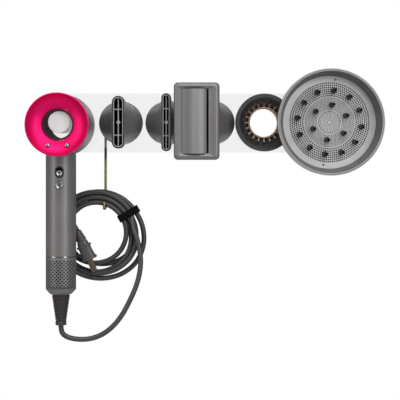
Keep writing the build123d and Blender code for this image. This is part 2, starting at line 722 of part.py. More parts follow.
def slot_nozzle(label, x, slot):
    """A round base that tapers to an upright slot."""
    cutter = floor_cutter(x, DOCK_INNER_R)
    with BuildPart() as shell:
        for inset, start, mode in ((0, BASE_BACK, Mode.ADD), (SHELL_WALL, FLOOR_TOP, Mode.SUBTRACT)):
            with BuildSketch(depth_plane(start)):
                with Locations((x, 0)):
                    Circle(BASE_R - inset)
            extrude(amount=BASE_TOP - start, mode=mode)
            with BuildSketch(depth_plane(BASE_TOP)):
                with Locations((x, 0)):
                    Circle(BASE_R - inset)
            with BuildSketch(depth_plane(TAPER_END)):
                with Locations((x, 0)):
                    SlotOverall(slot[0] - 2 * inset, slot[1] - 2 * inset, rotation=90)
            loft(mode=mode)
            with BuildSketch(depth_plane(TAPER_END)):
                with Locations((x, 0)):
                    SlotOverall(slot[0] - 2 * inset, slot[1] - 2 * inset, rotation=90)
            extrude(amount=NOZZLE_END - TAPER_END, mode=mode)
        add(cutter, mode=Mode.SUBTRACT)
    save(shell, label)


def slot_vane(label, x, slot, rib_z):
    """The rib down the middle of the slot and two cross ribs, on a stem that stands on the core plate."""
    height = slot[0] - 2 * SHELL_WALL - 4 * FIT
    width = slot[1] - 2 * SHELL_WALL - 2 * FIT
    with BuildPart() as vane:
        with BuildSketch(depth_plane(TAPER_END)):
            with Locations((x, 0)):
                Rectangle(RIB, height)
            with Locations((x, -rib_z), (x, rib_z)):
                Rectangle(width, RIB)
        extrude(amount=NOZZLE_END - TAPER_END - VANE_SET_BACK)
        with BuildSketch(depth_plane(CORE_PLATE_DEPTH)):
            with Locations((x, 0)):
                Circle(STEM_BOSS_R)
        extrude(amount=NOZZLE_END - VANE_SET_BACK - CORE_PLATE_DEPTH)
        with BuildSketch(depth_plane(CORE_PLATE_DEPTH)):
            with Locations((x, 0)):
                core_plate()
        extrude(amount=CORE_PLATE_THICKNESS)
    save(vane, label)


slot_nozzle("smoothing_shell", SMOOTHING_X, SMOOTHING_SLOT)
slot_vane("smoothing_vane", SMOOTHING_X, SMOOTHING_SLOT, SMOOTHING_RIB_Z)
steel_ring("smoothing_steel", SMOOTHING_X, DOCK_INNER_R)
slot_nozzle("styling_shell", STYLING_X, STYLING_SLOT)
slot_vane("styling_vane", STYLING_X, STYLING_SLOT, STYLING_RIB_Z)
steel_ring("styling_steel", STYLING_X, DOCK_INNER_R)

# Flyaway nozzle: a round base whose neck narrows to one side, and a box with a curved panel in its window.
flyaway_cutter = floor_cutter(FLYAWAY_X, DOCK_INNER_R)
NECK_END = FLYAWAY_BOX_START - FIT
with BuildPart() as flyaway_neck:
    for inset, start, mode in ((0, BASE_BACK, Mode.ADD), (SHELL_WALL, FLOOR_TOP, Mode.SUBTRACT)):
        with BuildSketch(depth_plane(start)):
            with Locations((FLYAWAY_X, 0)):
                Circle(BASE_R - inset)
        extrude(amount=FLYAWAY_NECK_START - start, mode=mode)
        with BuildSketch(depth_plane(FLYAWAY_NECK_START)):
            with Locations((FLYAWAY_X, 0)):
                Circle(BASE_R - inset)
        with BuildSketch(depth_plane(NECK_END)):
            with Locations((FLYAWAY_NECK_X, 0)):
                RectangleRounded(FLYAWAY_NECK[0] - 2 * inset, FLYAWAY_NECK[1] - 2 * inset, FLYAWAY_NECK_CORNER - inset)
        loft(mode=mode)
    add(flyaway_cutter, mode=Mode.SUBTRACT)
    with BuildSketch(depth_plane(CORE_PLATE_DEPTH)):
        with Locations((FLYAWAY_X, 0)):
            core_plate()
    extrude(amount=CORE_PLATE_THICKNESS)
save(flyaway_neck, "flyaway_neck")

with BuildPart() as flyaway_shell:
    for inset, cap, mode in ((0, 0, Mode.ADD), (SHELL_WALL, FLYAWAY_FACE, Mode.SUBTRACT)):
        with BuildSketch(depth_plane(FLYAWAY_BOX_START + cap)):
            with Locations((FLYAWAY_BOX_X, FLYAWAY_BOX_Z)):
                RectangleRounded(FLYAWAY_BOX[0] - 2 * inset, FLYAWAY_BOX[1] - 2 * inset, FLYAWAY_CORNER - inset)
        extrude(amount=FLYAWAY_END - FLYAWAY_BOX_START - 2 * cap, mode=mode)
    with BuildSketch(depth_plane(FLYAWAY_END)):
        with Locations((WINDOW_X, FLYAWAY_BOX_Z)):
            RectangleRounded(WINDOW[0], WINDOW[1], 1.0)
    extrude(amount=-2 * FLYAWAY_FACE, mode=Mode.SUBTRACT)
    with BuildSketch(depth_plane(FLYAWAY_BOX_START)):
        with Locations((FLYAWAY_NECK_X, 0)):
            RectangleRounded(FLYAWAY_NECK[0] - 2 * SHELL_WALL, FLYAWAY_NECK[1] - 2 * SHELL_WALL, FLYAWAY_CORNER)
    extrude(amount=2 * FLYAWAY_FACE, mode=Mode.SUBTRACT)
save(flyaway_shell, "flyaway_shell")

PANEL_LEFT = WINDOW_X - WINDOW[0] / 2 + FIT
PANEL_RIGHT = WINDOW_X + WINDOW[0] / 2 - PANEL_SLOT
PANEL_MIDDLE = (PANEL_LEFT + PANEL_RIGHT) / 2
with BuildPart() as flyaway_panel:
    with BuildSketch(Plane(origin=(0, 0, FLYAWAY_BOX_Z), x_dir=(1, 0, 0), z_dir=(0, 0, -1))):
        with BuildLine():
            edge_depth = FLYAWAY_END - PANEL_SET_BACK
            front = (PANEL_MIDDLE, edge_depth + PANEL_BULGE)
            back = (PANEL_MIDDLE, edge_depth + PANEL_BULGE - PANEL_WALL)
            ThreePointArc((PANEL_LEFT, edge_depth), front, (PANEL_RIGHT, edge_depth))
            Line((PANEL_RIGHT, edge_depth), (PANEL_RIGHT, edge_depth - PANEL_WALL))
            ThreePointArc((PANEL_RIGHT, edge_depth - PANEL_WALL), back, (PANEL_LEFT, edge_depth - PANEL_WALL))
            Line((PANEL_LEFT, edge_depth - PANEL_WALL), (PANEL_LEFT, edge_depth))
        make_face()
    extrude(amount=WINDOW[1] / 2 - FIT, both=True)
save(flyaway_panel, "flyaway_panel")
steel_ring("flyaway_steel", FLYAWAY_X, DOCK_INNER_R)

# Air ring: a round shell, a finned cone in its mouth and a bright lip round the hole.
air_ring_outline = [
    (BASE_R, BASE_BACK),
    (BASE_R, BASE_TOP),
    (AIR_RING_R, AIR_RING_FLARE_END),
    (AIR_RING_R, AIR_RING_END - 2 * AIR_RING_EDGE),
    (AIR_RING_R - AIR_RING_EDGE, AIR_RING_END),
    (AIR_RING_RIM, AIR_RING_END),
    (AIR_RING_RIM, AIR_RING_END - 2.5),
    (AIR_RING_R - SHELL_WALL, AIR_RING_END - 4.0),
    (AIR_RING_R - SHELL_WALL, AIR_RING_FLARE_END + 1.0),
    (BASE_R - AIR_RING_WALL, BASE_TOP + 4.0),
    (BASE_R - AIR_RING_WALL, FLOOR_TOP),
    (throat_r(AIR_RING_DOCK_R), FLOOR_TOP),
    (throat_r(AIR_RING_DOCK_R), BASE_BACK),
]
air_ring_cutter = floor_cutter(AIR_RING_X, AIR_RING_DOCK_R)
with BuildPart() as air_ring_shell:
    with BuildSketch(Plane(origin=(AIR_RING_X, 0, 0), x_dir=(1, 0, 0), z_dir=(0, 0, -1))):
        with BuildLine():
            Polyline(*air_ring_outline, close=True)
        make_face()
    revolve(axis=Axis((AIR_RING_X, 0, 0), (0, 1, 0)))
    add(air_ring_cutter, mode=Mode.SUBTRACT)
save(air_ring_shell, "air_ring_shell")
steel_ring("air_ring_steel", AIR_RING_X, AIR_RING_DOCK_R)

CONE_R = AIR_RING_RIM - GAP
CONE_HOLE_R = AIR_HOLE_R + LIP_STEP + 1.0
CONE_FRONT = AIR_RING_END - 0.8
with BuildPart() as air_ring_cone:
    with BuildSketch(Plane(origin=(AIR_RING_X, 0, 0), x_dir=(1, 0, 0), z_dir=(0, 0, -1))):
        with BuildLine():
            Polyline(
                (CONE_R, CONE_FRONT),
                (CONE_HOLE_R, CONE_BACK),
                (CONE_HOLE_R, CONE_BACK - CONE_WALL),
                (CONE_R, CONE_FRONT - CONE_WALL),
                close=True,
            )
        make_face()
    revolve(axis=Axis((AIR_RING_X, 0, 0), (0, 1, 0)))
    with BuildSketch(depth_plane(CONE_BACK)):
        with Locations((AIR_RING_X, 0)):
            with PolarLocations(CONE_HOLE_R + FIN_LENGTH / 2 + 0.5, FIN_COUNT):
                Rectangle(FIN_LENGTH, FIN_WIDTH)
    extrude(amount=FIN_HEIGHT)
save(air_ring_cone, "air_ring_cone")
LIP_START = DOCK_FACE + DOCK_LIP + 2 * GAP
air_ring_lip = turned(AIR_RING_X, 0, [
    (AIR_HOLE_R, LIP_START),
    (AIR_HOLE_R, CONE_BACK + 2.0),
    (AIR_HOLE_R + 1.0, CONE_BACK + 3.0),
    (CONE_HOLE_R - FIT, CONE_BACK + 2.4),
    (CONE_HOLE_R - FIT, CONE_BACK - CONE_WALL),
    (AIR_HOLE_R + LIP_STEP, CONE_BACK - CONE_WALL - 1.0),
    (AIR_HOLE_R + LIP_STEP, LIP_START),
])
save(air_ring_lip, "air_ring_lip")

# Diffuser: a neck with a flare, a bowl with a floor and a side, a perforated plate across it and prongs.
NECK_INNER_R = BASE_R - SHELL_WALL
FLARE_R, FLARE_DEPTH = DIFFUSER_FLARE
FLOOR_R, FLOOR_DEPTH = DIFFUSER_FLOOR
LEDGE_DEPTH = DIFFUSER_PLATE_DEPTH - FIT
PLATE_SEAT_R = DIFFUSER_PLATE_R + GAP
diffuser_cutter = floor_cutter(DIFFUSER_X, DOCK_INNER_R)
diffuser_tube = turned(DIFFUSER_X, 0, [
    (throat_r(DOCK_INNER_R), BASE_BACK),
    (BASE_R, BASE_BACK),
    (BASE_R, DIFFUSER_NECK_END),
    (FLARE_R, FLARE_DEPTH),
    (FLARE_R - 0.7, FLARE_DEPTH + 2.2),
    (NECK_INNER_R, DIFFUSER_NECK_END + 1.4),
    (NECK_INNER_R, FLOOR_TOP),
    (throat_r(DOCK_INNER_R), FLOOR_TOP),
])
with BuildPart() as diffuser_neck:
    add(diffuser_tube.part)
    add(diffuser_cutter, mode=Mode.SUBTRACT)
save(diffuser_neck, "diffuser_neck")
save(turned(DIFFUSER_X, 0, [
    (FLARE_R + FIT, FLARE_DEPTH),
    (FLOOR_R, FLOOR_DEPTH),
    (FLOOR_R, LEDGE_DEPTH),
    (FLOOR_R - 2.0, LEDGE_DEPTH),
    (FLARE_R - 0.7 + FIT, FLARE_DEPTH + 2.2),
]), "diffuser_bowl")
save(turned(DIFFUSER_X, 0, [
    (FLOOR_R + FIT, FLOOR_DEPTH),
    (DIFFUSER_R, DIFFUSER_SIDE_END),
    (DIFFUSER_R, DIFFUSER_END - 1.5 * DIFFUSER_EDGE),
    (DIFFUSER_R - DIFFUSER_EDGE, DIFFUSER_END),
    (DIFFUSER_R - DIFFUSER_WALL, DIFFUSER_END),
    (DIFFUSER_R - DIFFUSER_WALL - 0.5, DIFFUSER_END - 2.0),
    (DIFFUSER_R - DIFFUSER_WALL, DIFFUSER_SIDE_END + 1.0),
    (PLATE_SEAT_R, LEDGE_DEPTH + 2.8),
    (PLATE_SEAT_R, LEDGE_DEPTH),
    (FLOOR_R + FIT, LEDGE_DEPTH),
]), "diffuser_rim")
steel_ring("diffuser_steel", DIFFUSER_X, DOCK_INNER_R)

PLATE_FACE = DIFFUSER_PLATE_DEPTH + DIFFUSER_PLATE_THICKNESS
with BuildPart() as diffuser_plate:
    with BuildSketch(depth_plane(DIFFUSER_PLATE_DEPTH)):
        with Locations((DIFFUSER_X, 0)):
            Circle(DIFFUSER_PLATE_R)
    extrude(amount=DIFFUSER_PLATE_THICKNESS)
save(diffuser_plate, "diffuser_plate")

with BuildPart() as diffuser_prongs:
    with BuildSketch(depth_plane(PLATE_FACE)):
        with Locations((DIFFUSER_X, 0)):
            for count, radius in (OUTER_PRONGS, INNER_PRONGS):
                with PolarLocations(radius, count, start_angle=PRONG_ANGLE):
                    Circle(PRONG_R)
    extrude(amount=PRONG_HEIGHT, taper=PRONG_TAPER)
save(diffuser_prongs, "diffuser_prongs")

with BuildPart() as diffuser_screws:
    with BuildSketch(depth_plane(PLATE_FACE)):
        with Locations((DIFFUSER_X, 0)):
            with PolarLocations(DIFFUSER_SCREW_RADIUS, 2, start_angle=DIFFUSER_SCREW_ANGLE):
                Circle(SCREW_HEAD_R)
    extrude(amount=SCREW_HEAD_HEIGHT)
save(diffuser_screws, "diffuser_screws")
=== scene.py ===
# %% [markdown]
# # A clear wall holder with a hair dryer and its attachments
# The holder is a strip of clear acrylic. A dryer hangs on a peg at its left end, its cord is coiled
# on a brass hook, and five attachments sit on magnetic docks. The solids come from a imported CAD
# frame; this script adds what solids can't show: the real cord, fabric, perforations and finishes.

# %% Tools and the frame
import math

import bpy
import bmesh
import numpy as np
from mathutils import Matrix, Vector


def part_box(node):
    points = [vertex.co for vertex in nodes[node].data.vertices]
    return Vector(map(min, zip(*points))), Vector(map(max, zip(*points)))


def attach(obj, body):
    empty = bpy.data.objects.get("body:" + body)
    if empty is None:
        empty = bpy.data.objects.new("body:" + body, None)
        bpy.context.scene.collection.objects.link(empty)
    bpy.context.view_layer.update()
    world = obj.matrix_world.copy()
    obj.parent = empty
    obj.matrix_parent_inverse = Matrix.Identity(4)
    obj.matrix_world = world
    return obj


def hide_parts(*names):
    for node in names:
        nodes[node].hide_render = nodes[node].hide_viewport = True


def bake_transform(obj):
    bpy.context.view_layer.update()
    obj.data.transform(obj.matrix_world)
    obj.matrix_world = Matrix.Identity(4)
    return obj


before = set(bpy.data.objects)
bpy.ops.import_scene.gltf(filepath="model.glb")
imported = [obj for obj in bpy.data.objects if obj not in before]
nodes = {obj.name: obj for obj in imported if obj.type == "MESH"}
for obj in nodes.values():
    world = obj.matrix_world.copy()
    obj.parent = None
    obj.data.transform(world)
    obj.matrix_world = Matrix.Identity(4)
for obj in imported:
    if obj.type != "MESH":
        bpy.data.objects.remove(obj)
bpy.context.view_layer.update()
MM = 0.001

# %% [markdown]
# The camera stands about 1.65 m in front of the wall, level, with a long lens, so round things far
# from its axis show a little of their sides. The lens is shifted down, as a view camera's is, which
# keeps upright edges upright.

# %% The camera
CAMERA_PLACE = (6.5, -1655.0, -28.3)       # mm
SENSOR_WIDTH, LENS = 36, 114.8             # mm
LENS_SHIFT = -0.1375                       # of the picture's side, downwards
camera = bpy.data.objects.new("camera", bpy.data.cameras.new("camera"))
bpy.context.scene.collection.objects.link(camera)
bpy.context.scene.camera = camera
camera.location = [c * MM for c in CAMERA_PLACE]
camera.rotation_euler = (math.pi / 2, 0, 0)
camera.data.sensor_width = SENSOR_WIDTH
camera.data.lens = LENS
camera.data.shift_y = LENS_SHIFT
camera.data.clip_end = 20
print("camera at", CAMERA_PLACE, "mm, lens", LENS, "mm")


# %% [markdown]
# Shader maths reads best as ordinary arithmetic. This small class wraps a node's socket, so that
# `1 - mask * 0.3` adds the Math nodes by itself.

# %% Shader expressions
class Value:
    """A number socket in a node tree, with arithmetic."""

    def __init__(self, maker, socket):
        self.maker = maker
        self.socket = socket

    def _math(self, operation, a, b):
        return self.maker.node("ShaderNodeMath", {"operation": operation}, {0: a, 1: b})

    def __add__(self, other):
        return self._math("ADD", self, other)

    def __radd__(self, other):
        return self._math("ADD", other, self)

    def __sub__(self, other):
        return self._math("SUBTRACT", self, other)

    def __rsub__(self, other):
        return self._math("SUBTRACT", other, self)

    def __mul__(self, other):
        return self._math("MULTIPLY", self, other)

    def __rmul__(self, other):
        return self._math("MULTIPLY", other, self)

    def sine(self):
        return self.maker.node("ShaderNodeMath", {"operation": "SINE"}, {0: self})


class Finish:
    """A material being written: node() adds any node and returns one of its outputs, if it has any."""

    def __init__(self, name):
        self.material = bpy.data.materials.new(name)
        self.material.use_nodes = True
        self.tree = self.material.node_tree
        self.shader = self.tree.nodes["Principled BSDF"]

    def node(self, kind, settings=None, sockets=None, output=0):
        made = self.tree.nodes.new(kind)
        for key, value in (settings or {}).items():
            if key == "stops":
                elements = made.color_ramp.elements
                for i, (at, colour) in enumerate(value):
                    element = elements[i] if i < 2 else elements.new(at)
                    element.position = at
                    element.color = colour
            else:
                setattr(made, key, value)
        for key, value in (sockets or {}).items():
            self.put(made.inputs[key], value)
        return Value(self, made.outputs[output]) if made.outputs else None

    def put(self, socket, value):
        if isinstance(value, Value):
            self.tree.links.new(value.socket, socket)
        else:
            socket.default_value = value

    def set(self, **sockets):
        for key, value in sockets.items():
            self.put(self.shader.inputs[key.replace("_", " ")], value)
        return self

    def place(self):
        return self.node("ShaderNodeTexCoord", output=3)

    def uv(self):
        return self.node("ShaderNodeTexCoord", output=2)

    def noise(self, where, scale, detail=2.0):
        return self.node("ShaderNodeTexNoise", {}, {"Vector": where, "Scale": scale, "Detail": detail})

    def tint(self, factor, first, second):
        ramp = {"stops": [(0.0, (*first, 1)), (1.0, (*second, 1))]}
        return self.node("ShaderNodeValToRGB", ramp, {0: factor})

    def bump(self, height, strength, distance):
        sockets = {"Height": height, "Strength": strength, "Distance": distance}
        self.put(self.shader.inputs["Normal"], self.node("ShaderNodeBump", {}, sockets))


# %% [markdown]
# ## Finishes
# The dryer and its attachments are painted in one satin grey with metal flakes: a fine grain in the
# roughness and the colour breaks the reflections up, as flakes do. The other finishes follow.

# %% Painted and moulded finishes
def satin(name, dark, light, metallic, roughness, coat=0.15):
    made = Finish(name)
    where = made.place()
    flakes = made.noise(where, 2600.0, 1.0)
    cloud = made.noise(where, 30.0)
    made.set(
        Base_Color=made.tint(0.65 * flakes + 0.35 * cloud, dark, light),
        Roughness=roughness + 0.1 * flakes + 0.06 * cloud,
        Metallic=metallic,
        Coat_Weight=coat,
    )
    made.shader.inputs["Coat Roughness"].default_value = 0.25
    made.bump(flakes, 0.12, 0.02 * MM)
    return made.material


grey_paint = satin("grey_paint", (0.125, 0.12, 0.118), (0.215, 0.208, 0.204), 0.5, 0.38)
pale_grey = satin("pale_grey", (0.4, 0.39, 0.395), (0.52, 0.51, 0.515), 0.2, 0.4)
black_plastic = satin("black_plastic", (0.006, 0.0055, 0.0055), (0.014, 0.013, 0.0125), 0.0, 0.5, 0.0)
boot_rubber = satin("boot_rubber", (0.022, 0.018, 0.017), (0.046, 0.039, 0.036), 0.0, 0.5, 0.0)
plate_paint = satin("plate_paint", (0.46, 0.45, 0.46), (0.58, 0.57, 0.58), 0.1, 0.46)
plug_rubber = satin("plug_rubber", (0.04, 0.038, 0.037), (0.085, 0.08, 0.078), 0.0, 0.42, 0.1)
gloss_black = satin("gloss_black", (0.02, 0.022, 0.022), (0.04, 0.043, 0.043), 0.3, 0.3, 0.4)
cone_black = satin("cone_black", (0.006, 0.009, 0.008), (0.012, 0.017, 0.015), 0.2, 0.32, 0.3)
fuchsia = satin("fuchsia", (0.62, 0.0, 0.09), (0.88, 0.0, 0.15), 0.75, 0.38, 0.0)
chrome = satin("chrome", (0.22, 0.215, 0.215), (0.38, 0.37, 0.37), 1.0, 0.16, 0.0)
steel = satin("steel", (0.42, 0.42, 0.43), (0.55, 0.55, 0.56), 1.0, 0.3, 0.0)
copper = satin("copper", (0.72, 0.45, 0.37), (0.9, 0.62, 0.53), 0.8, 0.3, 0.3)
fin_plastic = satin("fin_plastic", (0.3, 0.2, 0.17), (0.62, 0.52, 0.47), 0.3, 0.35, 0.3)
bronze = satin("bronze", (0.11, 0.085, 0.065), (0.22, 0.17, 0.13), 1.0, 0.34, 0.0)
ceramic = satin("ceramic", (0.5, 0.46, 0.38), (0.62, 0.57, 0.47), 0.0, 0.7, 0.0)
board_green = satin("board_green", (0.01, 0.09, 0.04), (0.02, 0.14, 0.06), 0.0, 0.4, 0.3)
print(len(bpy.data.materials), "painted and moulded finishes")


# %% [markdown]
# Some finishes are painted in bands along a piece. The hook's brass has painted reflections: light
# and dark bands down the wire, where lacquered brass mirrors light and shade. The dryer's liner has
# a painted reflection of the funnel's fuchsia near its mouth, and painted shade inside. The flyaway
# panel has a painted highlight, lightest down its middle. The vanes have painted shade: pale at the
# slot's mouth, with their stems dark deeper in. Each reads one coordinate of the point being shaded,
# and a colour ramp turns it into the bands.

# %% Finishes in bands
X, Y, Z = range(3)                         # the outputs of a Separate XYZ node


def banded(name, axis, start, end, stops, metallic, roughness):
    """A ramp of colours along one axis, from start to end in mm, broken up by a fine noise."""
    made = Finish(name)
    where = made.place()
    coordinate = made.node("ShaderNodeSeparateXYZ", None, {0: where}, output=axis)
    along = (coordinate - start * MM) * (1 / ((end - start) * MM))
    fine = made.noise(where, 700.0)
    colours = {"stops": [(at, (*colour, 1)) for at, colour in stops]}
    made.set(
        Base_Color=made.node("ShaderNodeValToRGB", colours, {0: along + 0.05 * fine - 0.025}),
        Roughness=roughness + 0.12 * fine,
        Metallic=metallic,
    )
    made.bump(fine, 0.15, 0.03 * MM)
    return made.material


# Painted reflections: light and dark bands down the hook's wire, where the brass mirrors light and shade.
brass = banded(
    "brass", Z, -20.0, -60.0,
    [
        (0.0, (0.5, 0.48, 0.42)), (0.24, (0.42, 0.38, 0.3)), (0.34, (0.06, 0.04, 0.022)),
        (0.62, (0.1, 0.07, 0.035)), (0.75, (0.3, 0.25, 0.1)),
    ],
    0.85, 0.3,
)
# Painted reflection and shade: the funnel's fuchsia near the mouth, fading to painted shade deeper in the
# bore.
liner_painted_reflection_shade = banded(
    "liner_painted_reflection_shade", Y, -94.0, -76.0,
    [(0.0, (0.22, 0.002, 0.035)), (0.35, (0.05, 0.012, 0.018)), (1.0, (0.012, 0.011, 0.011))],
    0.1, 0.6,
)
liner_painted_reflection_shade.node_tree.nodes["Principled BSDF"].inputs["Specular IOR Level"].default_value = 0.12
# Painted highlight: the panel is lightest down its middle and darker towards its edges, as light falls on
# its curve.
panel_painted_highlight = banded(
    "panel_painted_highlight", X, -16.0, 15.0,
    [
        (0.0, (0.1, 0.098, 0.097)), (0.3, (0.2, 0.197, 0.195)), (0.44, (0.27, 0.265, 0.26)),
        (0.62, (0.19, 0.187, 0.185)), (1.0, (0.12, 0.118, 0.116)),
    ],
    0.6, 0.36,
)
# Painted shade: the vanes are pale at the slot's mouth and dark deeper in, where shade falls inside the
# nozzle.
vane_painted_shade = banded(
    "vane_painted_shade", Y, -75.0, -55.0,
    [(0.0, (0.4, 0.39, 0.38)), (0.25, (0.3, 0.29, 0.28)), (0.9, (0.01, 0.01, 0.01))],
    0.2, 0.4,
)
print(brass.name, liner_painted_reflection_shade.name, panel_painted_highlight.name, vane_painted_shade.name)


# %% [markdown]
# Clear acrylic lets light through and bends it a little. It is the wall plate, the peg and the
# docks. A faint cool tint and fine haze keep the sheet visible against a white wall. The peg's sawn
# end is frosted, and the peg has a painted glow: an emission that stands in for daylight carried along the
# clear rod.

# %% Clear acrylic
def clear_acrylic(name, tint, roughness, clear, painted_glow=0.0):
    """Acrylic: clear is the share of light that goes through; the last argument is a painted glow,
    the strength of an emission over the whole piece."""
    made = Finish(name)
    haze = made.noise(made.place(), 60.0)
    made.set(
        Base_Color=tint, Roughness=roughness + 0.05 * haze, Transmission_Weight=clear, IOR=1.46,
        Emission_Color=tint, Emission_Strength=painted_glow,
    )
    return made.material


acrylic = clear_acrylic("clear_acrylic", (0.885, 0.885, 0.895, 1), 0.02, 1.0)
# The peg's glow is painted light: an emission standing in for daylight carried along the rod.
frosted_acrylic = clear_acrylic("frosted_acrylic", (0.66, 0.64, 0.64, 1), 0.4, 0.2, 0.34)


# %% [markdown]
# The cord's rubber is near black and scuffed to grey. The strap is a woven black tape: its threads
# are two sine waves multiplied, along a UV map that counts threads, because a weave bends with the
# band that it is in.

# %% Cord rubber and strap fabric
def cord_rubber():
    made = Finish("cord_rubber")
    where = made.place()
    fine = made.noise(where, 900.0)
    worn = made.noise(where, 45.0)
    made.set(
        Base_Color=made.tint(0.5 * fine + 0.5 * worn, (0.021, 0.0195, 0.019), (0.05, 0.047, 0.0455)),
        Roughness=0.36 + 0.16 * worn,
        Specular_IOR_Level=0.55,
    )
    made.bump(fine, 0.2, 0.05 * MM)
    return made.material


def strap_fabric():
    """Over-and-under threads from two sine waves along the piece's own UV map, which is in threads."""
    made = Finish("strap_fabric")
    threads = made.uv()
    across = made.node("ShaderNodeSeparateXYZ", None, {0: threads}, output=X)
    along = made.node("ShaderNodeSeparateXYZ", None, {0: threads}, output=Y)
    weave = (across * math.tau).sine() * (along * math.tau).sine()
    fuzz = made.noise(made.place(), 3500.0, 3.0)
    made.set(
        Base_Color=made.tint(0.3 + 0.25 * weave + 0.4 * fuzz, (0.001, 0.001, 0.001), (0.006, 0.006, 0.0065)),
        Roughness=0.8 + 0.15 * fuzz,
        Specular_IOR_Level=0.12,
    )
    made.bump(weave + fuzz, 0.7, 0.2 * MM)
    return made.material


rubber = cord_rubber()
fabric = strap_fabric()
print(rubber.name, fabric.name)


# %% [markdown]
# ## Surfaces on a grid
# Every new piece is a grid of points worked out with numpy, row by row, and joined by four-sided
# faces. One function makes the mesh; the others say how the points are laid out.

# %% Grid meshes
def grid_faces(rows, columns, wrap_rows=False, wrap_columns=False):
    """Quads (i, j), (i, j+1), (i+1, j+1), (i+1, j) over a rows by columns grid, joined round where
    it wraps."""
    i = np.arange(rows if wrap_rows else rows - 1)[:, None]
    j = np.arange(columns if wrap_columns else columns - 1)[None, :]
    below = (i + 1) % rows
    beside = (j + 1) % columns
    corners = [i * columns + j, i * columns + beside, below * columns + beside, below * columns + j]
    return np.stack(np.broadcast_arrays(*corners), axis=-1).reshape(-1, 4)


def make_piece(name, points, faces, material, body, replaces=(), slot=None, smooth=35.0):
    """A mesh object from points in the shared frame, with doubles merged and its normals turned
    outwards."""
    mesh = bpy.data.meshes.new(name)
    mesh.from_pydata(np.asarray(points).reshape(-1, 3).tolist(), [], np.asarray(faces).tolist())
    work = bmesh.new()
    work.from_mesh(mesh)
    bmesh.ops.remove_doubles(work, verts=work.verts, dist=1e-6)
    bmesh.ops.dissolve_degenerate(work, edges=work.edges, dist=1e-7)
    bmesh.ops.recalc_face_normals(work, faces=work.faces)
    work.to_mesh(mesh)
    work.free()
    mesh.materials.append(material)
    piece = bpy.data.objects.new(name, mesh)
    bpy.context.scene.collection.objects.link(piece)
    mesh.shade_smooth()
    mesh.set_sharp_from_angle(angle=math.radians(smooth))
    if replaces:
        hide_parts(*replaces)
    if body:
        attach(piece, body)
    print(name, len(mesh.polygons), "faces")
    return piece


def join_grids(grids):
    """Several (points, faces) pairs as one, the later faces counting on from the earlier points."""
    points = np.concatenate([np.asarray(p).reshape(-1, 3) for p, _ in grids])
    starts = np.cumsum([0] + [np.asarray(p).size // 3 for p, _ in grids[:-1]])
    faces = np.concatenate([np.asarray(f) + start for (_, f), start in zip(grids, starts)])
    return points, faces


def spun(profile, centre, axis="Y", segments=96):
    """A closed profile of (radius, distance) in mm carried round an axis: each point becomes a
    circle of that radius."""
    profile = np.asarray(profile, float) * MM
    angle = np.linspace(0, math.tau, segments, endpoint=False)[:, None]
    side, up = np.cos(angle) * profile[:, 0], np.sin(angle) * profile[:, 0]
    along = np.broadcast_to(profile[:, 1], side.shape)
    if axis == "Y":
        points = np.stack([centre[0] + side, -along, centre[2] + up], axis=-1)
    else:
        points = np.stack([centre[0] + side, centre[1] + up, along], axis=-1)
    return points, grid_faces(segments, profile.shape[0], True, True)


def box_mm(node):
    """The lowest and the highest corner of a CAD node's box, in mm."""
    return [np.array(corner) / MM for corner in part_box(node)]


# %% [markdown]
# ## The cord
# The cord leaves the strain relief, swings round below the handle and joins its own coil in front,
# under the strap. It is one smooth spline from end to end. The lead's points are listed; the
# coil's turns come from a loop that carries six passes through the strap, which binds them, and
# lets them fan out at the bottom and the right, where nothing ties them. The lead bends when the
# dryer is lifted off its peg, so it is a piece of its own, cut from the same spline.

# %% The cord's route
CORD_DIAMETER = 6.5
LEAD = [
    (-168.0, -54.0, -254.3),
    (-168.0, -54.0, -261.6),
    (-163.2, -53.7, -268.4),
    (-150.2, -52.5, -272.5),
    (-132.4, -50.6, -272.7),
    (-116.0, -48.4, -267.2),
    (-102.4, -46.2, -256.6),
    (-91.4, -44.2, -242.6),
    (-83.2, -42.2, -227.2),
    (-75.4, -40.2, -210.4),
    (-70.2, -38.4, -193.2),
    (-68.4, -36.8, -177.0),
    (-69.8, -35.6, -162.0),
    (-73.6, -34.2, -146.5),
    (-79.0, -31.8, -132.2),
]
FREE_END = [
    (-160.4, -31.2, -121.2),
    (-154.2, -35.6, -128.6),
    (-149.0, -38.6, -137.0),
]
COIL_CENTRE = (-125.5, -139.8)
STATIONS = [30, 90, 180, 270, 317, 345]    # degrees from +X: strap, top, left, bottom, lower right, right
PASSES = [                                 # (radius, depth) of each pass at each station
    [(50.7, 27.0), (51.4, 26.5), (53.5, 25.5), (58.7, 21.5), (64.0, 20.0), (61.8, 19.5)],
    [(55.6, 22.8), (51.2, 19.6), (51.5, 18.5), (52.3, 25.5), (54.0, 26.5), (52.6, 26.5)],
    [(44.2, 27.0), (44.8, 26.6), (46.5, 26.0), (51.5, 18.8), (48.8, 22.8), (45.5, 22.2)],
    [(38.6, 19.8), (38.4, 19.2), (38.5, 18.5), (40.2, 15.4), (47.6, 15.0), (51.0, 14.8)],
    [(47.5, 16.5), (44.9, 15.8), (45.0, 15.5), (39.2, 22.0), (38.3, 22.5), (37.8, 25.0)],
    [(37.8, 27.0), (38.2, 26.8)],
]
POINTS_A_TURN = 16
LAST_ANGLE = 128                           # degrees, where the free end leaves the coil
LAST_STATION = (150, 39.0, 30.5)           # degrees, radius and depth that it leaves towards
SPLINE_STEPS = 7                           # points on the line for each control point
LEAD_OVERRUN = 4                           # more points that the lead takes, under the strap
coil_angles, coil_radii, coil_depths = [], [], []
for turn, row in enumerate(PASSES):
    for station, (radius, depth) in zip(STATIONS, row):
        coil_angles.append(station + 360 * turn)
        coil_radii.append(radius)
        coil_depths.append(depth)
coil_angles.append(LAST_STATION[0] + 360 * (len(PASSES) - 1))
coil_radii.append(LAST_STATION[1])
coil_depths.append(LAST_STATION[2])
turn_angles = np.arange(STATIONS[0], 360 * (len(PASSES) - 1) + LAST_ANGLE, 360 / POINTS_A_TURN)
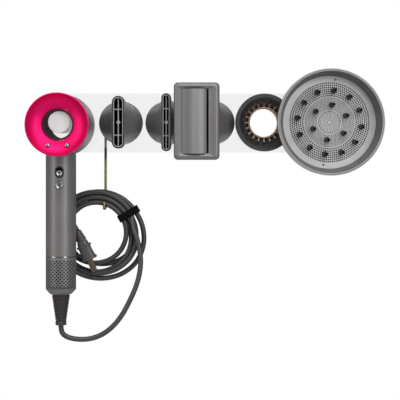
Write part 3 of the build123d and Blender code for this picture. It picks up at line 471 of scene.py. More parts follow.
# A spline through a ring of control points runs a little inside them.
ring_radius = np.interp(turn_angles, coil_angles, coil_radii) / math.cos(math.pi / POINTS_A_TURN)
coil_points = np.stack(
    [
        COIL_CENTRE[0] + ring_radius * np.cos(np.radians(turn_angles)),
        -np.interp(turn_angles, coil_angles, coil_depths),
        COIL_CENTRE[1] + ring_radius * np.sin(np.radians(turn_angles)),
    ],
    axis=-1,
)
route = np.concatenate([LEAD, coil_points, FREE_END]) * MM
curve = bpy.data.curves.new("cord_route", "CURVE")
curve.dimensions = "3D"
spline = curve.splines.new("NURBS")
spline.points.add(len(route) - 1)
spline.points.foreach_set("co", np.concatenate([route, np.ones((len(route), 1))], axis=1).ravel())
spline.order_u = 3
spline.use_endpoint_u = True
curve.resolution_u = SPLINE_STEPS
bare = bpy.data.objects.new("cord_route", curve)
line_mesh = bpy.data.meshes.new_from_object(bare)
line = np.empty(len(line_mesh.vertices) * 3, np.float32)
line_mesh.vertices.foreach_get("co", line)
line = line.reshape(-1, 3).astype(float)
bpy.data.meshes.remove(line_mesh)
bpy.data.objects.remove(bare)
bpy.data.curves.remove(curve)
lead_end = len(LEAD) * SPLINE_STEPS + LEAD_OVERRUN


def length_of(line):
    """The distances from each point of a line to the next, added up."""
    return float(np.linalg.norm(np.diff(line, axis=0), axis=1).sum())


print("cord", round(length_of(line), 3), "m")


# %% Tubes along a line
def tube(line, radius, sides=14):
    """A ring of points round each point of a line, turned as little as possible from ring to ring,
    with closed ends."""
    tangent = np.gradient(line, axis=0)
    tangent /= np.linalg.norm(tangent, axis=1)[:, None]
    normal = np.zeros_like(line)
    normal[0] = np.cross(tangent[0], (0.3, 1.0, 0.2))
    for k in range(1, len(line)):
        normal[k] = normal[k - 1] - tangent[k] * (normal[k - 1] @ tangent[k])
    normal -= tangent * (normal * tangent).sum(1)[:, None]
    normal /= np.linalg.norm(normal, axis=1)[:, None]
    other = np.cross(tangent, normal)
    angle = np.linspace(0, math.tau, sides, endpoint=False)[:, None]
    ring = normal[:, None] * np.cos(angle) + other[:, None] * np.sin(angle)
    first, last = (np.repeat(line[k][None, None], sides, 1) for k in (0, -1))
    points = np.concatenate([first, line[:, None] + radius * ring, last])
    return points, grid_faces(len(points), sides, False, True)


lead_line = line[: lead_end + 1]
coil_line = line[lead_end:]
cord_radius = CORD_DIAMETER / 2 * MM
cord_lead = make_piece(
    "lead_cord", *tube(lead_line, cord_radius), rubber, None, ["cord_lead"], "cord_rubber", 60
)
cord_coil = make_piece(
    "coil_cord", *tube(coil_line, cord_radius), rubber, "holder", ["cord_coil", "plug_cord"],
    "cord_rubber", 60,
)

# %% [markdown]
# ## The strap
# A hook-and-loop strap binds the coil where the lead joins it. It is a flat band that goes round the
# bundle once and overlaps itself in front, so its end stands one thickness proud.

# %% The strap
STRAP_ANGLE = math.radians(30)
STRAP_WIDTH = 9.5
STRAP_WALL = 1.3
strap_centre = sum(np.array(c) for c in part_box("cord_strap")) / 2
strap_out = np.array([math.cos(STRAP_ANGLE), 0, math.sin(STRAP_ANGLE)])
strap_front = np.array([0.0, -1.0, 0.0])
strap_side = np.array([-math.sin(STRAP_ANGLE), 0, math.cos(STRAP_ANGLE)])
STRAP_HALF_OUT = 13.9                      # to the middle of the band
STRAP_HALF_DEEP = 10.9
STRAP_ROUND = 6.0
LOOP_POINTS, BAND_SIDES = 96, 16
TAIL_WALL = 1.1
TAIL_NARROWER = 0.6
THREADS_A_MM = 2


def rounded_loop(half_a, half_b, corner, count):
    """Points of a rounded rectangle, at even steps of its perimeter, starting in the middle of the
    +a side."""
    quarter = np.linspace(0, math.pi / 2, 9)
    centres = [(half_a - corner, half_b - corner), (corner - half_a, half_b - corner)]
    centres += [(corner - half_a, corner - half_b), (half_a - corner, corner - half_b)]
    points = []
    for k, (a, b) in enumerate(centres):
        turn = quarter + k * math.pi / 2
        points.append(np.stack([a + corner * np.cos(turn), b + corner * np.sin(turn)], axis=-1))
    points = np.concatenate([[[half_a, 0]], *points, [[half_a, 0]]])
    length = np.concatenate([[0], np.cumsum(np.linalg.norm(np.diff(points, axis=0), axis=1))])
    at = np.linspace(0, length[-1], count, endpoint=False)
    return np.stack([np.interp(at, length, points[:, k]) for k in range(2)], axis=-1), length[-1]


def band(loop, closed, wall, width):
    """A strip of fabric with rounded edges: a flat oval section carried along a loop of (out, front)
    points."""
    ahead = np.roll(loop, -1, axis=0) - np.roll(loop, 1, axis=0)
    if not closed:
        ahead = np.gradient(loop, axis=0)
    ahead /= np.linalg.norm(ahead, axis=1)[:, None]
    away = np.stack([ahead[:, 1], -ahead[:, 0]], axis=-1)
    turn = np.linspace(0, math.tau, BAND_SIDES, endpoint=False)
    up = np.sign(np.sin(turn)) * np.abs(np.sin(turn)) ** 0.35 * wall / 2
    side = np.sign(np.cos(turn)) * np.abs(np.cos(turn)) ** 0.25 * width / 2
    flat = loop[:, None] + away[:, None] * up[None, :, None]
    points = flat[..., :1] * strap_out + flat[..., 1:] * strap_front + side[None, :, None] * strap_side
    return strap_centre + points * MM


loop, perimeter = rounded_loop(STRAP_HALF_OUT, STRAP_HALF_DEEP, STRAP_ROUND, LOOP_POINTS)
loop_points = band(loop, True, STRAP_WALL, STRAP_WIDTH)
tail = loop[6:40]
lifted = np.interp(np.arange(len(tail)), [0, 3, len(tail) - 1], [0.2, 1.15, 1.15])
tail_points = band(tail, False, TAIL_WALL, STRAP_WIDTH - TAIL_NARROWER)
tail_away = tail_points.mean(axis=1) - strap_centre
tail_away /= np.linalg.norm(tail_away, axis=1)[:, None]
tail_points = tail_points + tail_away[:, None] * lifted[:, None, None] * MM
ends = [np.repeat(tail_points[k].mean(axis=0)[None, None], BAND_SIDES, 1) for k in (0, -1)]
tail_points = np.concatenate([ends[0], tail_points, ends[1]])
strap = make_piece(
    "strap",
    *join_grids([
        (loop_points, grid_faces(LOOP_POINTS, BAND_SIDES, True, True)),
        (tail_points, grid_faces(len(tail_points), BAND_SIDES, False, True)),
    ]),
    fabric, "holder", ["cord_strap"], "strap_fabric", 50,
)
# The UV map counts threads: two to the millimetre, along the strap and across it.
vertex_points = np.empty(len(strap.data.vertices) * 3, np.float32)
strap.data.vertices.foreach_get("co", vertex_points)
loop_vertices = np.empty(len(strap.data.loops), np.int32)
strap.data.loops.foreach_get("vertex_index", loop_vertices)
relative = (vertex_points.reshape(-1, 3).astype(float) - strap_centre) / MM
around = np.arctan2(relative @ strap_front, relative @ strap_out) / math.tau * perimeter
across = relative @ strap_side
threads = np.stack([across, around], axis=-1)[loop_vertices] * THREADS_A_MM
strap_uv = strap.data.uv_layers.new(name="threads")
strap_uv.data.foreach_set("uv", threads.ravel().astype(np.float32))

# %% [markdown]
# ## The plug
# A moulded plug has a ribbed relief that bends with the cord, a shoulder, a grip that widens
# towards the face, and a rim round the face. Each part is a rounded section carried along the
# plug's axis.

# %% The plug
PLUG_TILT = math.radians(66.6)
plug_start = np.array(FREE_END[-1]) * MM
plug_along = np.array([math.cos(PLUG_TILT), 0, -math.sin(PLUG_TILT)])
plug_across = np.array([math.sin(PLUG_TILT), 0, math.cos(PLUG_TILT)])
plug_deep = np.array([0.0, 1.0, 0.0])


def along_plug(stations, squareness, sides=40, shift=0.0):
    """Sections along the plug's axis: each station is (distance, half width, half depth), and each
    section is a superellipse, which is rounder or squarer by its power."""
    stations = np.asarray(stations, float)
    turn = np.linspace(0, math.tau, sides, endpoint=False)
    a = np.sign(np.cos(turn)) * np.abs(np.cos(turn)) ** squareness
    b = np.sign(np.sin(turn)) * np.abs(np.sin(turn)) ** squareness
    points = (
        stations[:, :1, None] * plug_along
        + (stations[:, 1:2] * a)[..., None] * plug_across
        + (stations[:, 2:3] * b + shift)[..., None] * plug_deep
    )
    return plug_start + points * MM, grid_faces(len(stations), sides, False, True)


BOOT_LENGTH, BOOT_RIBS = 13.6, 5
rib_at = np.linspace(0, BOOT_LENGTH, 57)
rib_half = 3.9 + 0.19 * rib_at + 0.75 * (np.sin(rib_at / BOOT_LENGTH * BOOT_RIBS * math.tau) > 0)
relief_stations = [(0, 0, 0)] + [(x, r, r) for x, r in zip(rib_at, rib_half)] + [(14.0, 0, 0)]
make_piece(
    "plug_boot", *along_plug(relief_stations, 1.0), plug_rubber, "holder", ["plug_relief"],
    "dark_plastic", 40,
)
body_stations = [
    (14.0, 0, 0), (14.0, 5.6, 5.6), (14.4, 6.4, 6.2), (19.6, 7.4, 7.0), (19.9, 9.0, 8.0),
    (20.4, 9.5, 8.4), (22.0, 9.5, 8.4), (22.5, 9.0, 8.0), (22.8, 7.9, 7.2), (28.0, 7.9, 7.2),
    (36.2, 9.0, 8.0), (36.5, 9.9, 8.7), (37.0, 10.2, 9.0), (39.2, 10.2, 9.0), (39.8, 9.7, 8.6),
    (40.0, 0, 0),
]
make_piece(
    "plug_grip", *along_plug(body_stations, 0.62), plug_rubber, "holder", ["plug_body"],
    "cord_rubber", 40,
)
blade_stations = [
    (40.0, 0, 0), (40.0, 3.17, 0.75), (53.6, 3.17, 0.75), (54.8, 2.9, 0.62), (55.7, 2.3, 0.4), (56.0, 0, 0),
]
make_piece(
    "plug_pins",
    *join_grids([along_plug(blade_stations, 0.25, 24, shift) for shift in (-6.35, 6.35)]),
    bronze, "holder", ["plug_blades"], "blade_brass", 30,
)

# %% [markdown]
# ## Perforated metal
# The dryer's filter cage and the diffuser's plate are sheets with hundreds of punched holes, and
# the holes show the dark inside. Each hole is one tile: a square frame of eight points round a
# ring of eight, on both faces of the sheet, with a short wall between them. Tiles share their
# edges, and every second row of the cage is shifted by half a tile, as punched sheet is.

# %% Perforated sheets
TILE_SIDES = 8
TILE_POINTS = 4 * TILE_SIDES


def tile_faces(count):
    """Faces of count tiles. A tile's 32 points are the frame and the ring in front, then the frame
    and the ring behind."""
    k = np.arange(TILE_SIDES)
    nxt = (k + 1) % TILE_SIDES
    layers = []
    for first, second in ((0, 8), (8, 24), (24, 16)):
        layers.append(np.stack([first + k, first + nxt, second + nxt, second + k], axis=-1))
    one = np.concatenate(layers)
    return (one[None] + TILE_POINTS * np.arange(count)[:, None, None]).reshape(-1, 4)


def tiles(u, v, half_u, half_v, hole_u, hole_v):
    """Frame and ring of each tile in sheet coordinates: eight points from a corner round, and eight
    on an ellipse."""
    frame_u = np.array([1, 0, -1, -1, -1, 0, 1, 1])
    frame_v = np.array([1, 1, 1, 0, -1, -1, -1, 0])
    turn = np.radians([45, 90, 135, 180, 225, 270, 315, 360])
    frame_points = np.stack([u[:, None] + half_u * frame_u, v[:, None] + half_v * frame_v], axis=-1)
    ring_points = np.stack([u[:, None] + hole_u * np.cos(turn), v[:, None] + hole_v * np.sin(turn)], axis=-1)
    return np.concatenate([frame_points, ring_points], axis=1)


# %% The filter cage
cage_low, cage_high = box_mm("filter_cage")
cage_x, cage_y = (cage_low + cage_high)[:2] / 2
CAGE_R = (cage_high[0] - cage_low[0]) / 2
CAGE_COUNT, CAGE_ROWS, CAGE_PITCH = 25, 15, 2.26
CAGE_HOLE = (1.25, 1.04)                   # half width and half height of a hole
CAGE_SHEET = 0.9
holes_top = cage_high[2] - 3.0
step = math.tau / CAGE_COUNT
row, column = np.divmod(np.arange(CAGE_COUNT * CAGE_ROWS), CAGE_COUNT)
angle = (column + 0.5 * (row % 2)) * step
height = holes_top - (row + 0.5) * CAGE_PITCH
flat = tiles(angle, height, step / 2, CAGE_PITCH / 2, CAGE_HOLE[0] / CAGE_R, CAGE_HOLE[1])
layers = []
for radius in (CAGE_R, CAGE_R - CAGE_SHEET):
    layers.append(np.stack([
        cage_x + radius * np.cos(flat[..., 0]), cage_y + radius * np.sin(flat[..., 0]), flat[..., 1],
    ], axis=-1))
cage_tiles = np.concatenate(layers, axis=1) * MM, tile_faces(len(flat))
holes_end = holes_top - CAGE_ROWS * CAGE_PITCH
cage_top, cage_end = cage_high[2], cage_low[2]
rim_top = [
    (CAGE_R - CAGE_SHEET, holes_top), (CAGE_R, holes_top), (CAGE_R, cage_top - 0.25),
    (CAGE_R - 0.25, cage_top), (CAGE_R - 2.1, cage_top), (CAGE_R - 2.1, holes_top),
]
rim_end = [
    (CAGE_R, holes_end), (CAGE_R, cage_end + 6.4), (CAGE_R - 0.35, cage_end + 5.6),
    (13.7, cage_end + 0.2), (13.2, cage_end), (12.2, cage_end), (12.2, cage_end + 2.2),
    (CAGE_R - CAGE_SHEET, holes_end),
]
cage_centre = np.array([cage_x, cage_y, 0]) * MM
rims = [spun(profile, cage_centre, "Z", 2 * CAGE_COUNT) for profile in (rim_top, rim_end)]
make_piece(
    "cage_mesh", *join_grids([cage_tiles, *rims]), grey_paint, "filter_cage", ["filter_cage"],
    "grey_shell",
)

# %% [markdown]
# The strain relief is a tapered rubber boot, ribbed so that it bends evenly, with two beads at its
# end. It is round all the way, so it is one profile turned about the handle's axis.

# %% The strain relief
BEAD = ((6.9, 0.3), (7.1, 0.6), (7.1, 1.2), (6.8, 1.5), (6.2, 1.6))    # (radius, distance down)
RIB_PITCH, RIB_HEIGHT = 2.4, 0.95
relief_end = box_mm("strain_relief")[0][2]
relief_z = np.linspace(cage_end + 2.0, relief_end + 4.4, 141)
taper = np.interp(relief_z, [relief_end + 4.4, cage_end], [5.8, 10.8])
ribbed = np.sin((cage_end - relief_z) / RIB_PITCH * math.tau) > -0.1
ribs = RIB_HEIGHT * ribbed * (relief_z < cage_end - 2.0)
relief_profile = [(3.0, cage_end + 2.0)] + list(zip(taper + ribs, relief_z))
for top in (4.2, 1.6):
    relief_profile += [(radius, relief_end + top - down) for radius, down in BEAD]
relief_profile += [(3.0, relief_end)]
make_piece(
    "relief_boot", *spun(relief_profile, cage_centre, "Z", 64), boot_rubber, "dryer",
    ["strain_relief"], "dark_plastic", 50,
)

# %% [markdown]
# The diffuser's plate has its holes in circles, so each row of tiles is bent into a ring. Small
# domes stand on two of the circles. A black disc behind the plate is painted shade: it stands for the shade
# inside the bowl, so that the holes read dark.

# %% The diffuser's plate
plate_low, plate_high = box_mm("diffuser_plate")
dish_x, dish_z = (plate_low + plate_high)[0] / 2, (plate_low + plate_high)[2] / 2
PLATE_R = (plate_high[0] - plate_low[0]) / 2
plate_back, plate_front = -plate_high[1], -plate_low[1]


def punched_ring(inner, outer, count, hole, turn):
    """A flat ring with one circle of holes in its middle, and its inner and outer edges closed."""
    step = math.tau / count
    angle = (np.arange(count) + turn) * step
    middle = (inner + outer) / 2
    flat = tiles(angle, np.full(count, middle), step / 2, (outer - inner) / 2, hole / middle, hole)
    layers = []
    for depth in (plate_front, plate_back):
        layers.append(np.stack([
            dish_x + flat[..., 1] * np.cos(flat[..., 0]),
            np.full(flat.shape[:2], -depth),
            dish_z + flat[..., 1] * np.sin(flat[..., 0]),
        ], axis=-1))
    points = np.concatenate(layers, axis=1)
    first = TILE_POINTS * np.arange(count)[:, None]
    behind = TILE_POINTS // 2
    edges = []
    for a, b in ((0, 1), (1, 2), (4, 5), (5, 6)):
        corners = (first + a, first + b, first + b + behind, first + a + behind)
        edges.append(np.concatenate(corners, axis=1))
    return points * MM, np.concatenate([tile_faces(count), *edges])


def plain_ring(inner, outer, segments=96):
    """A flat ring with no holes, closed all round."""
    profile = [(inner, plate_back), (inner, plate_front), (outer, plate_front), (outer, plate_back)]
    return spun(profile, np.array([dish_x, 0, dish_z]) * MM, "Y", segments)


plate_rings = [plain_ring(50.4, PLATE_R)]
for k in range(7):
    outer = 50.4 - 2.63 * k
    plate_rings.append(punched_ring(outer - 2.63, outer, int(outer * 2.36), 1.04, 0.5 * (k % 2)))
plate_rings.append(plain_ring(31.2, 31.99))
for count, radius, size in ((84, 31.6, 0.62), (46, 15.0, 0.42)):
    for k in range(count):
        angle = math.tau * (k + 0.5) / count
        place = np.array([dish_x + radius * math.cos(angle), 0, dish_z + radius * math.sin(angle)]) * MM
        dome = [
            (0.0001, plate_front + 0.4), (0.6 * size, plate_front + 0.3), (size, plate_front + 0.02),
            (size, plate_front - 0.2), (0.0001, plate_front - 0.2),
        ]
        plate_rings.append(spun(dome, place, "Y", 8))
for k in range(9):
    outer = 31.2 - 1.75 * k
    plate_rings.append(punched_ring(outer - 1.75, outer, int(outer * 3.4), 0.68, 0.5 * (k % 2)))
plate_rings.append(plain_ring(14.6, 15.45, 72))
plate_rings.append(punched_ring(12.2, 14.6, 34, 0.95, 0))
for k in range(6):
    outer = 12.2 - 1.75 * k
    plate_rings.append(punched_ring(outer - 1.75, outer, int(outer * 3.2), 0.62, 0.5 * (k % 2)))
plate_rings.append(plain_ring(0.0001, 1.7, 24))
make_piece(
    "punched_plate", *join_grids(plate_rings), plate_paint, "diffuser", ["diffuser_plate"],
    "grey_light", 30,
)
dish_centre = np.array([dish_x, 0, dish_z]) * MM
# A black disc just behind the plate is painted shade, standing in for the shade inside the bowl.
SHADE_DISC_R = 54.6
shade_disc = [
    (0.0001, plate_back - 1.1), (0.0001, plate_back - 0.5), (SHADE_DISC_R, plate_back - 0.5),
    (SHADE_DISC_R, plate_back - 1.1),
]
make_piece("plate_painted_shade", *spun(shade_disc, dish_centre), black_plastic, "diffuser", (), "dark_plastic", 30)
# Two pale beads on the rim's rounded edges are painted highlights: thin light lines where the edges catch
# the light.
edge_turn = np.linspace(0, math.tau, 12, endpoint=False)
for name, radius, depth in (("rim_painted_highlight_outer", 65.4, 89.6), ("rim_painted_highlight_inner", 63.4, 89.5)):
    bead = np.stack([radius + 0.42 * np.cos(edge_turn), depth + 0.42 * np.sin(edge_turn)], axis=-1)
    make_piece(name, *spun(bead, dish_centre, "Y", 128), pale_grey, "diffuser", (), "grey_light", 60)

# %% [markdown]
# The prongs are round pegs with a small well in the tip, in two circles. One profile, turned about
# each peg's own axis, makes them all.

# %% The diffuser's prongs
prong_profile = [
    (3.6, 0), (3.5, 0.5), (3.1, 1.6), (2.9, 6), (2.7, 12), (2.4, 18), (2.2, 20.4), (1.9, 21.4),
    (1.5, 21.9), (1.25, 21.6), (1.05, 20.8), (0.95, 16), (0.0001, 16), (0.0001, 0),
]
prongs = []
for count, radius in ((12, 40.0), (6, 22.0)):
    for k in range(count):
        angle = math.radians(22 + 360 * k / count)
        place = np.array([dish_x + radius * math.cos(angle), 0, dish_z + radius * math.sin(angle)]) * MM
        profile = [(r, plate_front + d) for r, d in prong_profile]
        prongs.append(spun(profile, place, "Y", 20))
make_piece(
    "prongs", *join_grids(prongs), black_plastic, "diffuser", ["diffuser_prongs"], "dark_plastic", 50
)


# %% [markdown]
# ## The air ring's fins
# Behind the air ring's copper lip, twenty small blades stand round the hole of a dark cone and turn
# the air. A blade is a thin wedge that leans along the cone, so it is one small closed grid, placed
# round the axis as often as there are blades.

# %% The cone and its fins
ring_low, ring_high = box_mm("air_ring_cone")
ring_centre = np.array([(ring_low + ring_high)[0] / 2, 0, (ring_low + ring_high)[2] / 2]) * MM
cone_front, cone_back = -ring_low[1], -ring_high[1]
CONE_OUT, CONE_IN, CONE_HOLE = 31.2, 20.2, 17.9
CONE_LIP = 2.2                             # depth of the lip round the hole
cone_rise = cone_front - cone_back - CONE_LIP
cone_profile = [
    (CONE_OUT, cone_front), (CONE_OUT, cone_front - 1.6), (CONE_IN - 0.8, cone_back + 0.6),
    (CONE_HOLE, cone_back), (CONE_HOLE, cone_back + 1.4), (CONE_IN, cone_back + CONE_LIP),
]
for share in (0.12, 0.3, 0.5, 0.7, 0.88):
    bow = 0.8 * math.sin(share * math.pi)
    radius = CONE_IN + share * (CONE_OUT - CONE_IN) + 0.3 * bow
    cone_profile.append((radius, cone_back + CONE_LIP + share * cone_rise - bow))
make_piece(
    "cone", *spun(cone_profile, ring_centre, "Y", 128), cone_black, "air_ring", ["air_ring_cone"],
    "dark_plastic", 35,
)


def fins(count, inner, outer, rise, half_width):
    """Wedges round an axis: fin k is a box from inner to outer radius at angle k, half as wide inside,
    with its front edge rising from the cone by rise at the inner end to nothing at the outer end."""
    angle = np.arange(count) * math.tau / count
    radius = np.array([inner, inner, inner, inner, outer, outer, outer, outer])
    slope = cone_rise / (CONE_OUT - CONE_IN)
    base = cone_back + 1.4 + slope * (radius - CONE_IN)
    depth = base + np.array([0, 0, rise, rise, 0, 0, rise * 0.55, rise * 0.55])
    side = half_width * np.array([-0.5, 0.5, 0.35, -0.35, -1, 1, 0.75, -0.75])
    out = np.stack([np.cos(angle), np.sin(angle)], axis=-1)[:, None]
    across = np.stack([-np.sin(angle), np.cos(angle)], axis=-1)[:, None]
    flat = out * radius[None, :, None] + across * side[None, :, None]
    depths = np.broadcast_to(-depth, flat.shape[:2])
    points = np.stack([flat[..., 0], depths, flat[..., 1]], axis=-1) * MM + ring_centre
    box = np.array([[0, 1, 2, 3], [7, 6, 5, 4], [0, 4, 5, 1], [1, 5, 6, 2], [2, 6, 7, 3], [3, 7, 4, 0]])
    return points, (box[None] + 8 * np.arange(count)[:, None, None]).reshape(-1, 4)


make_piece("cone_fins", *fins(20, 18.6, 24.6, 3.4, 1.25), fin_plastic, "air_ring", (), "copper_lip", 30)


# %% [markdown]
# ## The nozzles' mouths
# Each flat nozzle ends in a thin wall round its slot: a dark face with a bright lip inside it. Both
# are rings of nested slot outlines: the lip is carried from the wall's face into the mouth.

# %% Slot lips
def stadium(half_long, half_short, count=24):
    """A slot's outline: two half circles of radius half_short, half_long - half_short from the centre."""
    turn = np.linspace(-math.pi / 2, math.pi / 2, count)
    end = np.stack([half_long - half_short + half_short * np.cos(turn), half_short * np.sin(turn)], axis=-1)
    return np.concatenate([end, -end])


LIP_ROWS = ((-2.55, 0.1), (-2.4, -0.15), (-2.0, -0.15), (-1.85, 0.1), (-1.65, 3.3), (-2.55, 3.3))
END_ROWS = ((-1.85, 0.2), (-1.85, -0.08), (-0.2, -0.08), (-0.05, 0.2))
SLOT_HALF = {"smoothing_shell": (32.7, 7.75), "styling_shell": (36.0, 6.0)}
FLAT_NOZZLES = (
    ("smoothing_shell", "smoothing_nozzle", "smoothing"),
    ("styling_shell", "styling_concentrator", "styling"),
)


def slot_ring(node, rows, material, body, name, slot_name):
    """Outlines of the slot, each grown by a little and set back by a little, joined into a closed ring."""
    low, high = box_mm(node)
    middle = (low + high) / 2
    front = -low[1]
    half_long, half_short = SLOT_HALF[node]
    layers = []
    for grow, back in rows:
        outline = stadium(half_long + grow, half_short + grow)
        layers.append(np.stack([
            middle[0] + outline[:, 1], np.full(len(outline), back - front), middle[2] + outline[:, 0],
        ], axis=-1))
    layers = np.array(layers) * MM
    faces = grid_faces(*layers.shape[:2], True, True)
    return make_piece(name, layers, faces, material, body, (), slot_name, 40)


for node, body, short in FLAT_NOZZLES:
    slot_ring(node, LIP_ROWS, pale_grey, body, f"{short}_lip", "grey_light")
    slot_ring(node, END_ROWS, black_plastic, body, f"{short}_end_ring", "dark_gloss")


# %% [markdown]
# ## The flyaway nozzle's frame
# The flyaway nozzle is a deep box whose front is a picture frame round a curved panel. Its edges are
# rounded and the frame slopes in to the window. Every outline is a rounded rectangle with the same
# number of points, so the box is one grid: a row for each outline, from the back round to the inside.

# %% A lofted frame
def rounded_rectangle(centre, half, corner, count=14):
    """Four quarter circles of radius corner, joined by the sides: a point is
    centre + (half - corner) * sign + corner * (cos, sin)."""
    quarter = np.linspace(0, math.pi / 2, count)
    parts = []
    for k, (sx, sz) in enumerate(((1, 1), (-1, 1), (-1, -1), (1, -1))):
        turn = quarter + k * math.pi / 2
        parts.append(np.stack([
            centre[0] + sx * (half[0] - corner) + corner * np.cos(turn),
            centre[1] + sz * (half[1] - corner) + corner * np.sin(turn),
        ], axis=-1))
    return np.concatenate(parts)


frame_low, frame_high = box_mm("flyaway_shell")
frame_middle = ((frame_low + frame_high) / 2)[[0, 2]]
frame_half = ((frame_high - frame_low) / 2)[[0, 2]]
frame_back, frame_front = -frame_high[1], -frame_low[1]
WINDOW_MIDDLE, WINDOW_HALF = np.array([0.5, frame_middle[1]]), np.array([16.5, 39.85])
NECK_MIDDLE, NECK_HALF = np.array([12.2, frame_middle[1]]), np.array([15.6, 24.3])
EDGE_DEPTH, EDGE_CORNER = 5.2, 5.3
frame_rows = [                             # (middle, half size, corner, depth)
    (NECK_MIDDLE, NECK_HALF, 6, frame_back),
    (frame_middle, frame_half - 1.2, 4.4, frame_back),
    (frame_middle, frame_half - 0.3, 5, frame_back + 0.4),
    (frame_middle, frame_half, EDGE_CORNER, frame_back + 1.4),
    (frame_middle, frame_half, EDGE_CORNER, frame_front - EDGE_DEPTH),
]
for turn in np.radians([18, 36, 54, 72, 90]):
    inset = 4.6 * (1 - math.cos(turn))
    depth = frame_front - EDGE_DEPTH + 5.0 * math.sin(turn)
    frame_rows.append((frame_middle, frame_half - inset, EDGE_CORNER - 0.35 * inset, depth))
frame_rows += [
    (WINDOW_MIDDLE, WINDOW_HALF + 0.7, 2.6, frame_front - 2.4),
    (WINDOW_MIDDLE, WINDOW_HALF + 0.2, 2.2, frame_front - 2.7),
    (WINDOW_MIDDLE, WINDOW_HALF, 2, frame_front - 3.2),
    (WINDOW_MIDDLE, WINDOW_HALF, 2, frame_front - 5.4),
    (frame_middle, frame_half - 1.6, 4, frame_front - 6.4),
    (frame_middle, frame_half - 1.6, 4, frame_back + 2),
    (NECK_MIDDLE, NECK_HALF, 6, frame_back + 2),
]
frame_points = []
for middle, half, corner, depth in frame_rows:
    outline = rounded_rectangle(middle, half, corner)
    frame_points.append(np.stack([outline[:, 0], np.full(len(outline), -depth), outline[:, 1]], axis=-1))
frame_points = np.array(frame_points) * MM
make_piece(
    "flyaway_frame", frame_points, grid_faces(*frame_points.shape[:2], True, True), grey_paint,
    "flyaway_nozzle", ["flyaway_shell"], "grey_shell", 28,
)

# %% [markdown]
# ## Buttons
# The small chrome buttons are domed, and the cool-shot button has a dished middle inside a ring, so
# each catches the light at its edge.

# %% Buttons
def button(node, profile, material, body, slot_name):
    """A button turned about its own axis: the profile is (share of its radius, distance back from
    its front)."""
    low, high = box_mm(node)
    radius = (high[0] - low[0]) / 2
    centre = np.array([(low + high)[0] / 2, 0, (low + high)[2] / 2]) * MM
    outline = [(max(r * radius, 0.0001), -low[1] - back) for r, back in profile]
    return make_piece(f"{node}_cap", *spun(outline, centre, "Y", 48), material, body, [node], slot_name, 40)


DOME = [(0, 0), (0.35, 0.08), (0.65, 0.3), (0.85, 0.65), (0.96, 1.1), (1, 1.7), (1, 7.5), (0, 7.5)]
DISH = [
    (0, 0.75), (0.3, 0.68), (0.6, 0.4), (0.74, 0.1), (0.8, 0), (0.92, 0.08), (0.98, 0.35), (1, 0.8),
    (1, 6.5), (0, 6.5),
]
button("airflow_button", DOME, chrome, "airflow_button", "chrome_button")
button("heat_button", DOME, chrome, "heat_button", "chrome_button")
button("cool_button", DISH, chrome, "cool_button", "chrome_button")
button("power_slider", DISH, chrome, "power_slider", "grey_light")

# %% [markdown]
# ## Finishes on the CAD pieces
# The remaining nodes keep their CAD shape and get the finish that the real piece has.

# %% Assigning finishes
node_finish = {
    acrylic: ["wall_plate", "smoothing_dock", "styling_dock", "flyaway_dock", "air_ring_dock",
              "diffuser_dock"],
    frosted_acrylic: ["dryer_peg"],
    steel: ["smoothing_magnet", "styling_magnet", "flyaway_magnet", "air_ring_magnet", "diffuser_magnet",
            "smoothing_steel", "styling_steel", "flyaway_steel", "air_ring_steel", "diffuser_steel",
            "impeller"],
    brass: ["hook_post", "cord_hook"],
    grey_paint: ["head_shell", "handle_tube", "smoothing_shell", "styling_shell", "flyaway_neck",
                 "diffuser_neck", "diffuser_bowl", "diffuser_rim", "outlet_ring"],
    vane_painted_shade: ["smoothing_vane", "styling_vane"],
    panel_painted_highlight: ["flyaway_panel"],
    fuchsia: ["intake_funnel"],
    liner_painted_reflection_shade: ["bore_liner"],
    gloss_black: ["air_ring_shell"],
    black_plastic: ["switch_bezel", "motor_housing", "filter_core"],
    copper: ["air_ring_lip"],
    chrome: ["trim_ring", "diffuser_screws"],
    ceramic: ["heater_ring"],
    board_green: ["circuit_board"],
}
for material, names in node_finish.items():
    for name in names:
        data = nodes[name].data
        data.materials.clear()
        data.materials.append(material)
        data.shade_smooth()
        data.set_sharp_from_angle(angle=math.radians(30))
painted = {name for names in node_finish.values() for name in names}
print(len(painted), "nodes keep their CAD shape")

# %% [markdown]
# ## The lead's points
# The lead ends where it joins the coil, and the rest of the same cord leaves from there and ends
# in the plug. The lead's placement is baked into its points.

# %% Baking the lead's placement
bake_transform(cord_lead)

# %% [markdown]
# ## Light and surroundings
# The object is lit as for a catalogue: a white surround and large soft panels. The surround is white
# to the eye and through clear acrylic, but dimmer in reflections, so that round shapes keep their
# darker bands. The floor is far below.

# %% The surround
class Surround(Finish):
    """The world's node tree, written with the same node()."""

    def __init__(self, world):
        world.use_nodes = True
        self.tree = world.node_tree
        self.tree.nodes.clear()


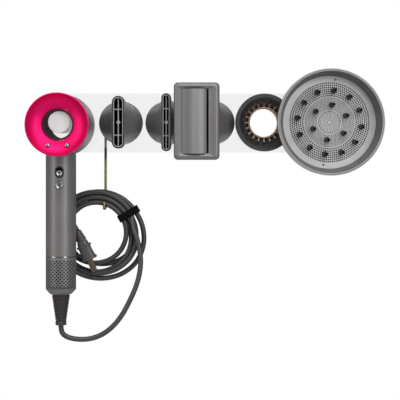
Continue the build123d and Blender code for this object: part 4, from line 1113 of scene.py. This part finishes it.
WHITE = (1, 1, 1, 1)
STRENGTH_SEEN, STRENGTH_REFLECTED = 1.0, 0.27
world = bpy.data.worlds.new("studio")
bpy.context.scene.world = world
surround = Surround(world)
to_camera = surround.node("ShaderNodeLightPath", output="Is Camera Ray")
through_clear = surround.node("ShaderNodeLightPath", output="Is Transmission Ray")
seen = surround.node("ShaderNodeMath", {"operation": "MAXIMUM"}, {0: to_camera, 1: through_clear})
dim = surround.node("ShaderNodeBackground", None, {0: WHITE, 1: STRENGTH_REFLECTED})
white = surround.node("ShaderNodeBackground", None, {0: WHITE, 1: STRENGTH_SEEN})
mix = surround.node("ShaderNodeMixShader", None, {0: seen, 1: dim, 2: white})
surround.node("ShaderNodeOutputWorld", None, {0: mix})
bpy.context.scene.view_settings.view_transform = "Standard"


def panel(name, place, aim, width, height, power):
    """A soft light panel at place, facing aim."""
    light = bpy.data.lights.new(name, "AREA")
    light.shape = "RECTANGLE"
    light.size = width
    light.size_y = height
    light.energy = power
    lamp = bpy.data.objects.new(name, light)
    bpy.context.scene.collection.objects.link(lamp)
    lamp.location = place
    direction = np.array(aim) - np.array(place)
    flat = math.hypot(direction[0], direction[1])
    tilt, turn = math.atan2(direction[2], flat), math.atan2(-direction[0], direction[1])
    lamp.rotation_euler = (math.pi / 2 + tilt, 0, turn)
    print(name, "light,", power, "W")


panel("key_left", (-1.35, -0.95, 0.35), (-0.05, 0, -0.05), 0.6, 1.5, 10)
panel("fill_right", (0.95, -1.4, 0.25), (0.05, 0, -0.05), 0.4, 1.4, 11)
panel("top", (0.0, -0.7, 1.3), (0, -0.05, 0), 1.4, 0.5, 13)
panel("front", (0.45, -2.1, 0.85), (0, 0, -0.05), 0.7, 0.4, 12)

# %% The floor
FLOOR_Z = -1.1
FLOOR_HALF = 1.6
signs = ((-1, -1), (1, -1), (1, 1), (-1, 1))
floor_corners = [(FLOOR_HALF * x, FLOOR_HALF * y, FLOOR_Z) for x, y in signs]
floor_mesh = bpy.data.meshes.new("floor")
floor_mesh.from_pydata(floor_corners, [], [(0, 1, 2, 3)])
floor = bpy.data.objects.new("floor", floor_mesh)
bpy.context.scene.collection.objects.link(floor)
pale_floor = Finish("pale_floor").set(Base_Color=(0.85, 0.85, 0.85, 1), Roughness=0.8)
floor_mesh.materials.append(pale_floor.material)
